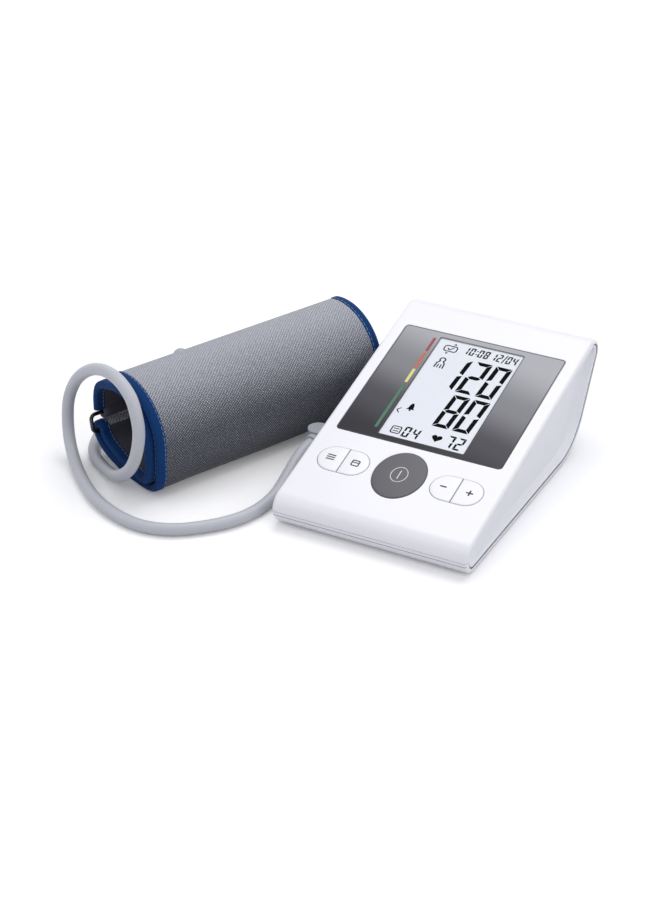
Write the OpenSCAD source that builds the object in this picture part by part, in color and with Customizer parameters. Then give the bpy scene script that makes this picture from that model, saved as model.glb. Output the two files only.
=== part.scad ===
// Upper arm blood pressure monitor: a wedge-shaped desk unit, an arm cuff
// rolled into a sleeve, and the air hose that joins them. All lengths are in
// millimetres, +Z is up, and the table is at z = 0 under the middle of the set.

/* [Housing] */
// Width of the desk unit, left to right
unit_w = 100; // [90:1:120]
// Depth of the desk unit, nose to back
unit_d = 155.5; // [148:0.5:175]
// Slope of the face above the table
face_tilt = 14.93; // [13:0.01:18]
// Slope of the back wall, which leans outward as it rises
back_tilt = 60.6; // [55:0.1:68]
// Radius of the rounded nose
nose_r = 8.3; // [7.5:0.1:10]
// Radius of the rounded top edge
top_r = 8; // [6:0.5:11]
// Radius of the bend between base and back wall
heel_r = 31.5; // [26:0.5:36]
// Wall of the two covers
wall = 2.2; // [2:0.1:2.6]
// Height of the parting line at the nose, above the base
seam_front_z = 8; // [6:0.5:9]
// Slope of the parting line
seam_tilt = 11; // [9:0.5:13]
// Groove left open along the parting line
seam_gap = 0.3; // [0.2:0.05:0.5]

/* [Side cheeks] */
// Width of the rim that shows inside the covers' edge
cheek_rim = 1.9; // [1.4:0.1:2.6]
// Gap between the cheek and the covers around it
cheek_fit = 0.15; // [0.1:0.05:0.3]
// How far the cheek's rim sits below the covers' edge
cheek_sunk = 0.4; // [0:0.1:1]
// Depth of the hollow side at the nose
recess_front = 1.6; // [1:0.1:3]
// Depth of the hollow side at the back
recess_back = 9.5; // [6:0.5:11]
// Thickness of the cheek's panel
cheek_web = 1.8; // [1.2:0.1:2.4]

/* [Display] */
// Width of the display window
window_w = 86.2; // [80:0.2:88]
// Height of the display window, along the face
window_h = 80.6; // [76:0.2:84]
// Thickness of the display window
window_t = 1.4; // [1:0.1:1.6]
// Corner radius of the display window
window_r = 2; // [1:0.5:4]
// Gap around the display window
window_gap = 0.15; // [0.1:0.05:0.3]
// Width of the liquid crystal panel
lcd_w = 47; // [44:0.5:48]
// Height of the liquid crystal panel
lcd_h = 75.4; // [70:0.2:76]
// Thickness of the liquid crystal panel
lcd_t = 2.4; // [1.6:0.1:2.8]

/* [Keys] */
// Distance of the key row's middle behind the nose
key_row_y = 33.1; // [32:0.1:36]
// Distance from the key row's middle to the window
key_to_window = 19.3; // [18.5:0.1:21]
// Half width of the power button
power_r = 12.65; // [11:0.05:13.5]
// Half height of the oval power button, up the face
power_long = 15.25; // [13:0.05:16]
// Distance of each key pair from the middle
pair_x = 29.2; // [28.5:0.1:31]
// End radius of a key pair
pair_r = 8; // [7:0.1:8.5]
// Straight length of a key pair between its round ends
pair_straight = 9.8; // [8:0.1:10]
// Gap around a key in its hole
key_gap = 0.25; // [0.2:0.05:0.35]
// Gap between the two keys of a pair
key_split = 0.4; // [0.3:0.05:0.6]
// How far a key stands above the face
key_proud = 0.4; // [0.2:0.1:0.8]
// How far a key travels when it is pressed
key_travel = 0.8; // [0.5:0.1:1]

/* [Main board] */
// Width of the circuit board
board_w = 78; // [74:1:78]
// Thickness of the circuit board
board_t = 1.6; // [1:0.2:1.6]
// Depth of the board's top below the face
board_depth = 8.3; // [8.2:0.1:8.6]

/* [Battery compartment] */
// Diameter of a battery cell
cell_d = 14.2; // [14:0.1:14.5]
// Length of a battery cell without its nub
cell_len = 49.5; // [49:0.1:50]
// Spacing of the cells
cell_pitch = 14.9; // [14.6:0.1:15.2]
// Distance of the cells' front ends behind the nose
cell_y = 59; // [58.5:0.5:59.5]
// Thickness of the battery cover
door_t = 1.8; // [1.4:0.1:2]
// Gap around the battery cover
door_gap = 0.25; // [0.2:0.05:0.4]

/* [Air system] */
// Diameter of the pump motor
motor_d = 20; // [18:0.5:21]
// Length of the pump motor
motor_len = 26; // [22:1:28]
// Width and height of the pump's head
head_w = 22; // [20:1:22]
// Height of the air socket above the base
socket_z = 12; // [11:0.5:14]
// Distance of the air socket behind the nose
socket_y = 66; // [60:1:70]
// Radius of the plug's spigot
spigot_r = 3; // [2.5:0.1:3.4]
// Radial running clearance of turning and sliding fits
running_gap = 0.05; // [0.02:0.01:0.09]

/* [Feet and screws] */
// How far the rubber feet stand out of the base
foot_proud = 0.6; // [0.4:0.1:1.2]
// Radius of a rubber foot
foot_r = 4.5; // [3.5:0.5:5.5]
// Distance of the feet from the middle
foot_x = 41; // [39:0.5:43]
// Shank radius of a housing screw
screw_r = 1.4; // [1.2:0.1:1.5]

/* [Cuff] */
// Length of the rolled cuff
cuff_len = 138; // [130:1:150]
// Width of the rolled cuff
cuff_w = 57; // [54:0.5:64]
// Height of the rolled cuff
cuff_h = 55; // [52:0.5:60]
// Thickness of the padded cloth
cloth_t = 3.2; // [3:0.1:3.6]
// Gap between the two layers of the roll
layer_gap = 0.3; // [0.2:0.05:0.6]
// Width of the edge binding
binding_w = 7; // [5:0.5:10]
// How far the binding stands proud of the cloth
binding_proud = 0.3; // [0.1:0.05:0.4]
// How square the roll's lower right corner is: 2 is round
corner_power = 5; // [3:0.5:6]
// Wire radius of the cuff's metal ring
ring_r = 1.5; // [1.2:0.1:1.6]

/* [Hose] */
// Diameter of the air hose
hose_d = 6; // [5.5:0.1:6.5]

/* [Layout] */
// Place of the desk unit's nose middle, right of the origin
unit_x = 57; // [50:0.5:70]
// Place of the desk unit's nose, behind the origin
unit_y = -75; // [-80:0.5:-70]
// Direction of the cuff's axis, turned from the unit's width
cuff_turn = 66; // [62:0.5:72]
// Place of the cuff's near right bottom, right of the origin
cuff_x = -57; // [-62:0.5:-55]
// Place of the cuff's near right bottom, behind the origin
cuff_y = -77.5; // [-82:0.5:-72]

/* [Hidden] */

$fn = 64;
eps = 0.02;
soft_white = "#F4F5F8";
key_grey = "#6A6A6E";
cuff_grey = "#7E8288";
binding_blue = "#123E70";
hose_grey = "#C9CBD2";

// ---- side outline of the desk unit: x runs from nose to back, y is height ----

function face_z(y) = nose_r + nose_r / cos(face_tilt) + (y - nose_r) * tan(face_tilt);
function face_dir(r) = r * [-sin(face_tilt), cos(face_tilt)];
function back_dir(r) = r * [sin(back_tilt), -cos(back_tilt)];
nose_c = [nose_r, nose_r];
top_c = [unit_d - top_r, face_z(unit_d - top_r) - top_r / cos(face_tilt)];
back_p = top_c + back_dir(top_r);
back_base_y = back_p[0] - back_p[1] / tan(back_tilt);
heel_c = [back_base_y - heel_r * tan(back_tilt / 2), heel_r];

// The closed outline, moved inward by inset
module outline_2d(inset = 0) {
    nose = nose_r - inset;
    top = top_r - inset;
    heel = heel_r - inset;
    heel_back = heel_c + back_dir(heel);
    corner = [heel_back[0] - (heel_back[1] - inset) / tan(back_tilt), inset];
    translate(nose_c) circle(nose);
    translate(top_c) circle(top);
    polygon([[nose_c[0], inset], [heel_c[0], inset], heel_c, heel_back,
        top_c + back_dir(top), top_c + face_dir(top), nose_c + face_dir(nose)]);
    intersection() {
        translate(heel_c) circle(heel);
        polygon([heel_c, [heel_c[0], inset], corner, heel_back]);
    }
}

// Runs a side outline across the unit, from x = from to x = to
module across(from, to) {
    translate([from, 0, 0]) rotate([90, 0, 90]) linear_extrude(to - from) children();
}

// The outer form of the desk unit
module outer_body() {
    across(-unit_w / 2, unit_w / 2) outline_2d();
}

// Half of the side view above (up = 1) or below (up = -1) the parting line
module seam_half_2d(up) {
    far = 2 * unit_d;
    translate([0, seam_front_z]) rotate(seam_tilt)
        translate([-far, up > 0 ? seam_gap / 2 : -seam_gap / 2 - far]) square([2 * far, far]);
}

// Places children in the desk unit
module in_unit() {
    translate([unit_x, unit_y, foot_proud]) children();
}

// Places children on the face: x right, y up the slope, z out, from the key row
module on_face() {
    translate([0, key_row_y, face_z(key_row_y)]) rotate([face_tilt, 0, 0]) children();
}

// A slab between two depths below the face
module face_slab(top, bottom) {
    translate([0, 0, -bottom]) linear_extrude(bottom - top) children();
}

module rounded_rect(w, h, r) {
    square([w - 2 * r, h], center = true);
    square([w, h - 2 * r], center = true);
    for (x = [-1, 1], y = [-1, 1]) translate([x * (w / 2 - r), y * (h / 2 - r)]) circle(r);
}

// ---- display, keys and board, by their depth below the face ----

window_mid = key_to_window + window_h / 2;
lcd_mid = window_mid - 0.1;
lcd_top = wall + 0.05;
holder_wall = 2.4;
holder_base = board_depth - 0.05;
flange_over = 0.7;
flange_top = wall + 0.15;
flange_bottom = flange_top + 0.85;
mat_top = board_depth - 1.1;
dome_top = flange_bottom + key_travel + 0.05;
board_low = -12;
board_high = 75;
board_neck = 92;
board_neck_w = 48;
board_screw_x = 33;
board_screw_rows = [14, 70];
// The row of tall parts, clear of the pump
part_row = 73;
board_screw_r = 1.2;

module window_2d(grow = 0) {
    translate([0, window_mid]) rounded_rect(window_w + 2 * grow, window_h + 2 * grow, window_r + grow);
}

module power_2d(grow = 0) {
    scale([power_r + grow, power_long + grow]) circle(1);
}

module pair_2d(grow = 0) {
    square([pair_straight, 2 * (pair_r + grow)], center = true);
    for (x = [-1, 1]) translate([x * pair_straight / 2, 0]) circle(pair_r + grow);
}

// One key of a pair: side of the unit, and end = -1 for left or 1 for right
module half_pair_2d(side, end, grow) {
    intersection() {
        translate([side * pair_x, 0]) pair_2d(grow);
        translate([side * pair_x + end * (key_split / 2 + unit_w / 2), 0])
            square([unit_w, unit_w], center = true);
    }
}

function key_x(side, end) = side * pair_x + end * 0.4 * (pair_straight / 2 + pair_r);

// ---- housing screws ----

front_screw = [33, 17];
rear_screw = [30, 117];
screw_spots = [for (x = [-1, 1], s = [front_screw, rear_screw]) [x * s[0], s[1]]];
boss_r = 3.3;
boss_root = wall / 2;
boss_joint = 7;
head_r = 2.7;
head_h = 1.8;
screw_fit = 0.2;
head_z = 4.2;
screw_tip = 7;

module front_cover() color(soft_white) in_unit() {
    difference() {
        union() {
            difference() {
                intersection() {
                    outer_body();
                    across(-unit_w, unit_w) seam_half_2d(1);
                }
                across(-unit_w, unit_w) outline_2d(wall);
            }
            // Screw bosses, down from the face
            for (s = screw_spots) translate([s[0], s[1], boss_joint + seam_gap])
                cylinder(r = boss_r, h = face_z(s[1]) - boss_root - boss_joint - seam_gap);
            // Board bosses
            on_face() for (x = [-1, 1], y = board_screw_rows)
                translate([x * board_screw_x, y]) face_slab(wall / 2, board_depth - eps) circle(2.6);
        }
        on_face() {
            face_slab(-1, window_t + eps) window_2d(window_gap);
            translate([0, lcd_mid]) face_slab(-1, wall + 1) square([lcd_w - 1.9, lcd_h - 1.9], center = true);
            face_slab(-1, wall + 1) power_2d(key_gap);
            for (side = [-1, 1]) translate([side * pair_x, 0]) face_slab(-1, wall + 1) pair_2d(key_gap);
            for (x = [-1, 1], y = board_screw_rows)
                translate([x * board_screw_x, y, -board_depth - 1])
                    cylinder(r = board_screw_r + running_gap, h = board_depth - wall);
        }
        for (s = screw_spots) translate([s[0], s[1], boss_joint - 1])
            cylinder(r = screw_r + running_gap, h = screw_tip + 1.5);
    }
}

// ---- battery compartment ----

cells = 4;
door_w = cells * cell_pitch + 3;
door_front = cell_y - 2.3;
door_back = cell_y + cell_len + 3.4;
bay_front = door_front - 3;
bay_wall = 1.4;
cell_z = door_t + 0.15 + cell_d / 2;
bay_top = cell_z + cell_d / 2 + 0.7;
contact_t = 0.4;
contact_room = 1.8;
tab_w = 4;
tab_reach = 2.5;
lip_z = 5.1;

function cell_x(i) = (i - (cells - 1) / 2) * cell_pitch;

module bay_box(grow, low) {
    translate([-door_w / 2 - grow, bay_front - grow, low])
        cube([door_w + 2 * grow, door_back - bay_front + 2 * grow, bay_top + grow - low]);
}

// ---- pump, held across the unit above the bend of the base ----

pump_y = 127.5;
pump_z = 25;
sleeve_t = 1.9;
sleeve_fit = 0.1;
motor_x = -4;
motor_wall = 1.2;
head_len = 16;
head_gap = 0.3;
shaft_r = 1;
saddle_w = 12;
saddle_x = 3;
saddle_y = [pump_y - saddle_w / 2, pump_y + saddle_w / 2];

// Height of the middle of the wall in the bend of the base
function heel_z(y) = heel_c[1] - sqrt(pow(heel_r - wall / 2, 2) - pow(y - heel_c[0], 2));

module at_pump() {
    translate([0, pump_y, pump_z]) rotate([0, 90, 0]) children();
}

module rear_cover() color(soft_white) in_unit() {
    difference() {
        union() {
            difference() {
                intersection() {
                    outer_body();
                    across(-unit_w, unit_w) seam_half_2d(-1);
                }
                across(-unit_w, unit_w) outline_2d(wall);
            }
            bay_box(bay_wall, boss_root);
            for (s = screw_spots) translate([s[0], s[1], boss_root])
                cylinder(r = boss_r, h = boss_joint - boss_root);
            // Saddle under the pump, rooted in the bend of the base
            across(saddle_x, saddle_x + saddle_w) polygon([[saddle_y[0], heel_z(saddle_y[0])],
                [saddle_y[1], heel_z(saddle_y[1])], [saddle_y[1], pump_z], [saddle_y[0], pump_z]]);
        }
        difference() {
            bay_box(0, wall);
            // Bulkhead behind the front contacts, clear of the cover's hooks
            translate([-unit_w / 2, 0, lip_z]) cube([unit_w, cell_y - contact_room, unit_d]);
        }
        // Opening for the battery cover
        translate([-door_w / 2, door_front, -1]) cube([door_w, door_back - door_front, wall + 2]);
        // Seats of the housing screws
        for (s = screw_spots) translate([s[0], s[1], -1]) {
            cylinder(r = screw_r + screw_fit, h = boss_joint + 2);
            cylinder(r = head_r + screw_fit, h = head_z + 1);
        }
        for (p = foot_spots) translate([p[0], p[1], -1]) cylinder(r = foot_r + screw_fit, h = 1 + foot_sunk);
        at_pump() cylinder(r = motor_d / 2 + sleeve_t + 2 * sleeve_fit, h = unit_w, center = true);
    }
}

// ---- side cheeks ----

recess_turn = atan((recess_back - recess_front) / unit_d);

// The space on the outer side of the cheek's panel, moved inward by back
module outside_panel(back) {
    translate([unit_w / 2 - recess_front - back, 0, 0])
        rotate([0, 0, recess_turn])
            translate([0, -unit_d, -unit_d]) cube([unit_d, 4 * unit_d, 3 * unit_d]);
}

function panel_x(y) = unit_w / 2 - recess_front - y * tan(recess_turn);

module cheek() {
    difference() {
        intersection() {
            across(0, unit_w / 2 - cheek_sunk) outline_2d(wall + cheek_fit);
            outside_panel(cheek_web);
        }
        intersection() {
            across(0, unit_w / 2) outline_2d(wall + cheek_fit + cheek_rim);
            outside_panel(0);
        }
    }
}

module right_cheek() color(soft_white) in_unit() cheek();

socket_r = 4.5;
socket_flange_r = 6.2;
socket_flange_t = 1.2;
socket_face_x = -(panel_x(socket_y) + 0.5 + socket_flange_t);
socket_end_x = -33.3;
socket_bore_end_x = -39;
tube_x = -35.8;

module at_socket() {
    translate([0, socket_y, socket_z]) rotate([0, 90, 0]) children();
}

module left_cheek() color(soft_white) in_unit() {
    difference() {
        mirror([1, 0, 0]) cheek();
        translate([-unit_w, 0, 0]) at_socket() cylinder(r = socket_r + 0.15, h = unit_w + socket_end_x);
    }
}

module air_socket() color("#3A3A3E") in_unit() {
    difference() {
        union() {
            translate([socket_face_x, 0, 0]) at_socket() cylinder(r = socket_flange_r, h = socket_flange_t);
            translate([socket_face_x, 0, 0]) at_socket() cylinder(r = socket_r, h = socket_end_x - socket_face_x);
            // Nipple for the inner tube, towards the back
            translate([tube_x, socket_y, socket_z]) rotate([-90, 0, 0])
                cylinder(r = tube_bore_r - running_gap, h = socket_r + 4);
        }
        translate([socket_face_x - 1, 0, 0]) at_socket()
            cylinder(r = spigot_r + running_gap, h = socket_bore_end_x - socket_face_x + 1);
        translate([socket_bore_end_x - 1, 0, 0]) at_socket() cylinder(r = 0.6, h = tube_x - socket_bore_end_x + 1, $fn = 24);
        translate([tube_x, socket_y, socket_z]) rotate([-90, 0, 0]) cylinder(r = 0.6, h = unit_d / 8, $fn = 24);
    }
}

// ---- display ----

module display_window() color("#4A4A4E") in_unit() on_face() {
    face_slab(0, window_t) window_2d();
}

module lcd_panel() color("#DDE4EA") in_unit() on_face() translate([0, lcd_mid]) {
    face_slab(lcd_top, lcd_top + lcd_t) square([lcd_w, lcd_h], center = true);
}

module lcd_holder() color("#D8D8D4") in_unit() on_face() translate([0, lcd_mid]) {
    difference() {
        face_slab(lcd_top, holder_base) square([lcd_w + 2 * holder_wall, lcd_h + holder_wall], center = true);
        face_slab(lcd_top - 1, lcd_top + lcd_t + 0.05)
            square([lcd_w + 2 * window_gap, lcd_h + 2 * window_gap], center = true);
        face_slab(lcd_top, holder_base - 0.8) square([lcd_w - 4, lcd_h - 14], center = true);
        translate([0, zebra_y]) face_slab(lcd_top, holder_base + 1)
            square([zebra_w + 2 * window_gap, zebra_t + 2 * window_gap], center = true);
    }
}

zebra_w = 44;
zebra_t = 2.2;
zebra_y = -lcd_h / 2 + 3;

module zebra_strip() color("#C06070") in_unit() on_face() translate([0, lcd_mid + zebra_y]) {
    face_slab(lcd_top + lcd_t + 0.05, board_depth - 0.05) square([zebra_w, zebra_t], center = true);
}

// ---- keys ----

// A key cap on a flange that keeps it in the cover: child 0 is the cap's outline, child 1 the flange's
module key() {
    face_slab(-key_proud, flange_bottom) children(0);
    face_slab(flange_top, flange_bottom) children(1);
}

module pair_key(side, end) {
    in_unit() on_face() key() {
        half_pair_2d(side, end, 0);
        half_pair_2d(side, end, flange_over);
    }
}

module power_button() color(key_grey) in_unit() on_face() key() {
    power_2d();
    power_2d(flange_over);
}

module set_button() color(soft_white) pair_key(-1, -1);
module memory_button() color(soft_white) pair_key(-1, 1);
module minus_button() color(soft_white) pair_key(1, -1);
module plus_button() color(soft_white) pair_key(1, 1);

mat_h = 22;
mat_mid = -1;

module key_mat() color("#B8BABC") in_unit() on_face() {
    difference() {
        union() {
            translate([0, mat_mid]) face_slab(mat_top, board_depth - 0.05) square([board_w, mat_h], center = true);
            face_slab(dome_top, board_depth - 0.05) circle(6);
            for (side = [-1, 1], end = [-1, 1])
                translate([key_x(side, end), 0]) face_slab(dome_top, board_depth - 0.05) circle(2.6);
        }
        // Hollow under each dome
        translate([0, 0, -board_depth - 1]) cylinder(r = 4.6, h = board_depth + 1 - dome_top - 1.2);
        for (side = [-1, 1], end = [-1, 1])
            translate([key_x(side, end), 0, -board_depth - 1])
                cylinder(r = 1.7, h = board_depth + 1 - dome_top - 1.2);
    }
}

// ---- board ----

board_bottom = board_depth + board_t;

module main_board() color("#2E6B3C") in_unit() on_face() {
    difference() {
        face_slab(board_depth, board_bottom) {
            translate([-board_w / 2, board_low]) square([board_w, board_high - board_low]);
            translate([-board_neck_w / 2, board_high - 1]) square([board_neck_w, board_neck - board_high + 1]);
        }
        for (x = [-1, 1], y = board_screw_rows) translate([x * board_screw_x, y, -board_bottom - 1])
            cylinder(r = board_screw_r + 0.1, h = board_t + 2);
    }
}

module board_parts() color("#26262A") in_unit() on_face() {
    // Processor, driver, regulator and two capacitors under the board
    for (p = [[8, 44, 12, 12], [-14, 60, 9, 6], [18, 64, 5, 6]])
        translate([p[0], p[1]]) face_slab(board_bottom, board_bottom + 1.4) square([p[2], p[3]], center = true);
    for (x = [-6, 3]) translate([x, part_row]) face_slab(board_bottom, board_bottom + 5) circle(3);
}

module buzzer() color("#1E1E20") in_unit() on_face() translate([16, part_row]) {
    difference() {
        face_slab(board_bottom, board_bottom + 4) circle(5.5);
        translate([0, 0, -board_bottom - 5]) cylinder(r = 1, h = 2.5, $fn = 24);
    }
}

module pressure_sensor() color("#E8E4D8") in_unit() on_face() translate([-17, part_row]) {
    face_slab(board_bottom, board_bottom + 3) square([8, 8], center = true);
    face_slab(board_bottom, board_bottom + 5.5) circle(1.4);
}

module board_screws() color("#B8B8BC") in_unit() on_face() {
    for (x = [-1, 1], y = board_screw_rows) translate([x * board_screw_x, y]) {
        face_slab(wall + 2, board_bottom + 1.5) circle(board_screw_r);
        face_slab(board_bottom, board_bottom + 1.5) circle(2.3);
    }
}

// ---- pump ----

module pump_motor() color("#9A9CA2") in_unit() translate([motor_x, 0, 0]) at_pump() {
    difference() {
        cylinder(d = motor_d, h = motor_len);
        translate([0, 0, motor_wall + 2]) cylinder(d = motor_d - 2 * motor_wall, h = motor_len - 2 * motor_wall - 4);
        translate([0, 0, -1]) cylinder(r = shaft_r + running_gap, h = motor_len + 2);
    }
}

module pump_shaft() color("#C8C8CC") in_unit() translate([motor_x, 0, 0]) at_pump() {
    translate([0, 0, -7]) cylinder(r = shaft_r, h = motor_len + 7);
    translate([0, 0, 6]) cylinder(r = 6, h = motor_len - 12);
    // Eccentric that rocks the diaphragm
    translate([1, 0, -6]) cylinder(r = 3, h = 3);
}

module pump_head() color("#2E2E32") in_unit() translate([motor_x - head_gap, 0, 0]) at_pump() {
    mirror([0, 0, 1]) difference() {
        union() {
            linear_extrude(head_len) rounded_rect(head_w, head_w, 6);
            // Air outlet
            cylinder(r = tube_bore_r - running_gap, h = head_len + 3.5);
        }
        translate([0, 0, -1]) cylinder(r = 8.6, h = 12);
        cylinder(r = 0.7, h = head_len + 5, $fn = 24);
    }
}

module pump_diaphragm() color("#3C3C3C") in_unit() translate([motor_x - head_gap, 0, 0]) at_pump() {
    mirror([0, 0, 1]) difference() {
        union() {
            translate([0, 0, 9.8]) cylinder(r = 8.5, h = 1.1);
            for (a = [0, 120, 240]) rotate(a) translate([4.6, 0, 8.4]) cylinder(r = 2.6, h = 2);
        }
        translate([0, 0, 8]) cylinder(r = 0.7, h = 5, $fn = 24);
    }
}

module pump_sleeve() color("#303030") in_unit() translate([motor_x + 3, 0, 0]) at_pump() {
    difference() {
        cylinder(r = motor_d / 2 + sleeve_fit + sleeve_t, h = motor_len - 6);
        translate([0, 0, -1]) cylinder(r = motor_d / 2 + sleeve_fit, h = motor_len);
    }
}

// ---- valve and inner tubes ----

tube_r = 2;
tube_bore_r = 1.15;
valve_x = [-37.4, -26];
valve_w = 13;
valve_top = pump_z + 5;
plunger_r = 1.5;
plunger_travel = 1;

module release_valve() color("#D8D8DA") in_unit() {
    difference() {
        union() {
            translate([valve_x[0], pump_y - valve_w / 2, valve_top - 17])
                cube([valve_x[1] - valve_x[0], valve_w, 17]);
            // Inlet towards the pump, outlet towards the socket
            translate([valve_x[1] - 1, pump_y, pump_z]) rotate([0, 90, 0])
                cylinder(r = tube_bore_r - running_gap, h = 2.8);
            translate([tube_x, pump_y - valve_w / 2 + 1, tube_z]) rotate([90, 0, 0])
                cylinder(r = tube_bore_r - running_gap, h = 3.5);
        }
        translate([(valve_x[0] + valve_x[1]) / 2, pump_y, valve_top - 9])
            cylinder(r = plunger_r + running_gap, h = 10);
    }
}

module valve_plunger() color("#B8B8BC") in_unit() {
    translate([(valve_x[0] + valve_x[1]) / 2, pump_y, valve_top - 7]) {
        cylinder(r = plunger_r, h = 9);
        translate([0, 0, 7 + plunger_travel + 0.1]) cylinder(r = 2.6, h = 1);
    }
}

tube_z = 21;

// A soft tube through the points, round at its bends
module soft_tube(points, r) {
    for (i = [0 : len(points) - 2]) {
        step = points[i + 1] - points[i];
        turn = atan2(step[1], step[0]);
        lean = acos(step[2] / norm(step));
        translate(points[i]) rotate([0, lean, turn]) cylinder(r = r, h = norm(step), $fn = 24);
    }
    for (i = [1 : len(points) - 2]) translate(points[i]) sphere(r + 0.12, $fn = 24);
}

module inner_tubes() color("#D0D2D6") in_unit() {
    // Pump to valve
    translate([valve_x[1] + 0.1, pump_y, pump_z]) rotate([0, 90, 0]) difference() {
        cylinder(r = tube_r, h = motor_x - head_gap - head_len - valve_x[1] - 0.2);
        translate([0, 0, -1]) cylinder(r = tube_bore_r, h = 30);
    }
    // Valve to air socket, beside the battery bay
    socket_side = socket_y + socket_r + 0.2;
    difference() {
        soft_tube([[tube_x, pump_y - valve_w / 2 - 0.1, tube_z], [tube_x, socket_side + 18, tube_z],
            [tube_x, socket_side + 8, socket_z], [tube_x, socket_side, socket_z]], tube_r);
        translate([tube_x, pump_y, tube_z]) rotate([90, 0, 0]) cylinder(r = tube_bore_r, h = valve_w / 2 + 3.5);
        translate([tube_x, socket_y, socket_z]) rotate([-90, 0, 0]) cylinder(r = tube_bore_r, h = socket_r + 4.5);
    }
}

// ---- batteries and their cover ----

module battery_cover() color(soft_white) in_unit() {
    // Plate, flush with the base
    difference() {
        translate([-door_w / 2 + door_gap, door_front + door_gap, 0])
            cube([door_w - 2 * door_gap, door_back - door_front - 2 * door_gap, door_t]);
        // Finger grip
        translate([0, door_back - 8, -1.2]) rotate([0, 90, 0]) cylinder(r = 2, h = 18, center = true);
    }
    // Hooks over the front edge, between the cells
    for (x = [-1, 1]) translate([x * cell_pitch - tab_w / 2, 0, 0]) {
        translate([0, door_front + door_gap, door_t - eps]) cube([tab_w, 1.5, wall + 1.1 - door_t]);
        translate([0, door_front - tab_reach, wall + 0.15]) cube([tab_w, tab_reach + 1, 0.95]);
    }
}

module batteries() color("#2C5A3A") in_unit() {
    for (i = [0 : cells - 1]) {
        flip = i % 2;
        translate([cell_x(i), flip == 0 ? cell_y : cell_y + cell_len + 1, cell_z])
            rotate([flip == 0 ? -90 : 90, 0, 0]) {
                cylinder(d = cell_d, h = cell_len);
                cylinder(r = 2.7, h = cell_len + 1);
            }
    }
}

module battery_contacts() color("#C8C4B8") in_unit() {
    front = cell_y - contact_room;
    rear = door_back - contact_t;
    cell_end = cell_y + cell_len + 1.2;
    for (i = [0 : cells - 1]) {
        flat_front = i % 2 == 0;
        // A plate at each end of the cell
        for (y = [front, rear]) translate([cell_x(i) - 6, y, lip_z + 0.2]) cube([12, contact_t, 9.5]);
        // A coil spring at the flat end and a button at the nub
        translate([cell_x(i), front + contact_t, cell_z]) rotate([-90, 0, 0]) difference() {
            cylinder(r = flat_front ? 3 : 2, h = contact_room - contact_t - 0.2);
            if (flat_front) translate([0, 0, 0.3]) cylinder(r = 2.2, h = 5);
        }
        translate([cell_x(i), cell_end, cell_z]) rotate([-90, 0, 0]) difference() {
            cylinder(r = flat_front ? 2 : 3, h = rear - cell_end);
            if (!flat_front) translate([0, 0, -1]) cylinder(r = 2.2, h = 2.5);
        }
    }
}

// ---- feet and screws ----

foot_sunk = 1;
foot_spots = [for (x = [-1, 1], y = [28, 104]) [x * foot_x, y]];

module rubber_feet() color("#4A4A4C") in_unit() {
    for (p = foot_spots) translate([p[0], p[1], -foot_proud]) cylinder(r = foot_r, h = foot_proud + foot_sunk);
}

module housing_screws() color("#A8A8AC") in_unit() {
    for (s = screw_spots) translate([s[0], s[1], head_z - head_h]) {
        cylinder(r = head_r, h = head_h);
        cylinder(r = screw_r, h = boss_joint + screw_tip - head_z + head_h);
    }
}

// ---- cuff: a strip rolled into a sleeve, seen along its axis ----
// Angles are counted about the roll's middle, 0 to the right and 90 up. The strip
// starts at the metal ring on the left, goes over the top and round to the ring
// again, passes through it, folds back and covers itself up to the top.

roll_a = cuff_w / 2;
roll_b = cuff_h / 2;
roll_c = [-roll_a + 7, roll_b + 0.02];
outer_depth = binding_proud + cloth_t / 2;
inner_depth = outer_depth + cloth_t + 2 * binding_proud + layer_gap;
hem_angle = 183;
inner_end = -148.2;
outer_start = -152.7;
outer_end = 108;
fold_bar = [roll_c[0] - 25, roll_c[1] - 12.7];
hem_bar = [roll_c[0] - 26.7, roll_c[1] - 3.7];
fold_r = ring_r + 0.15 + cloth_t / 2 + binding_proud;

function smooth(t) = let (k = min(1, max(0, t))) k * k * (3 - 2 * k);
// The roll is oval, and squarer where its heavy side lies on the table, from -90 to 0
function roll_point(a, depth) =
    let (power = a > -90 && a < 0 ? 2 / corner_power : 1)
    roll_c + [(roll_a - depth) * sign(cos(a)) * pow(abs(cos(a)), power),
        (roll_b - depth) * sign(sin(a)) * pow(abs(sin(a)), power)];
function inner_depth_at(a) = inner_depth
    - (inner_depth - outer_depth) * smooth((a - 112) / 43)
    - 2.6 * smooth((-115 - a) / 33);
function outer_depth_at(a) = outer_depth - 4.9 * smooth((-105 - a) / 47);

inner_path = [for (a = [hem_angle : -6 : inner_end + 3]) roll_point(a, inner_depth_at(a))];
fold_path = [for (a = [2 : 28 : 200]) fold_bar + fold_r * [cos(a), sin(a)]];
outer_path = [for (a = [outer_start + 4 : 6 : outer_end]) roll_point(a, outer_depth_at(a))];
strip_path = concat(inner_path, fold_path, outer_path);
inner_count = len(inner_path);
fold_count = len(fold_path);

// Unit normal of the path at point i, on the strip's inner face
function path_normal(p, i) =
    let (d = p[min(i + 1, len(p) - 1)] - p[max(i - 1, 0)]) [d[1], -d[0]] / norm(d);
function offset_path(p, off) = [for (i = [0 : len(p) - 1]) p[i] + off * path_normal(p, i)];
function part(v, from, to) = [for (i = [from : to]) v[i]];
function backwards(v) = [for (i = [len(v) - 1 : -1 : 0]) v[i]];

// The part of the strip between two offsets from its middle, from point i to point j
module strip_2d(from, to, i = 0, j = len(strip_path) - 1) {
    polygon(concat(part(offset_path(strip_path, from), i, j),
        backwards(part(offset_path(strip_path, to), i, j))));
}

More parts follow.
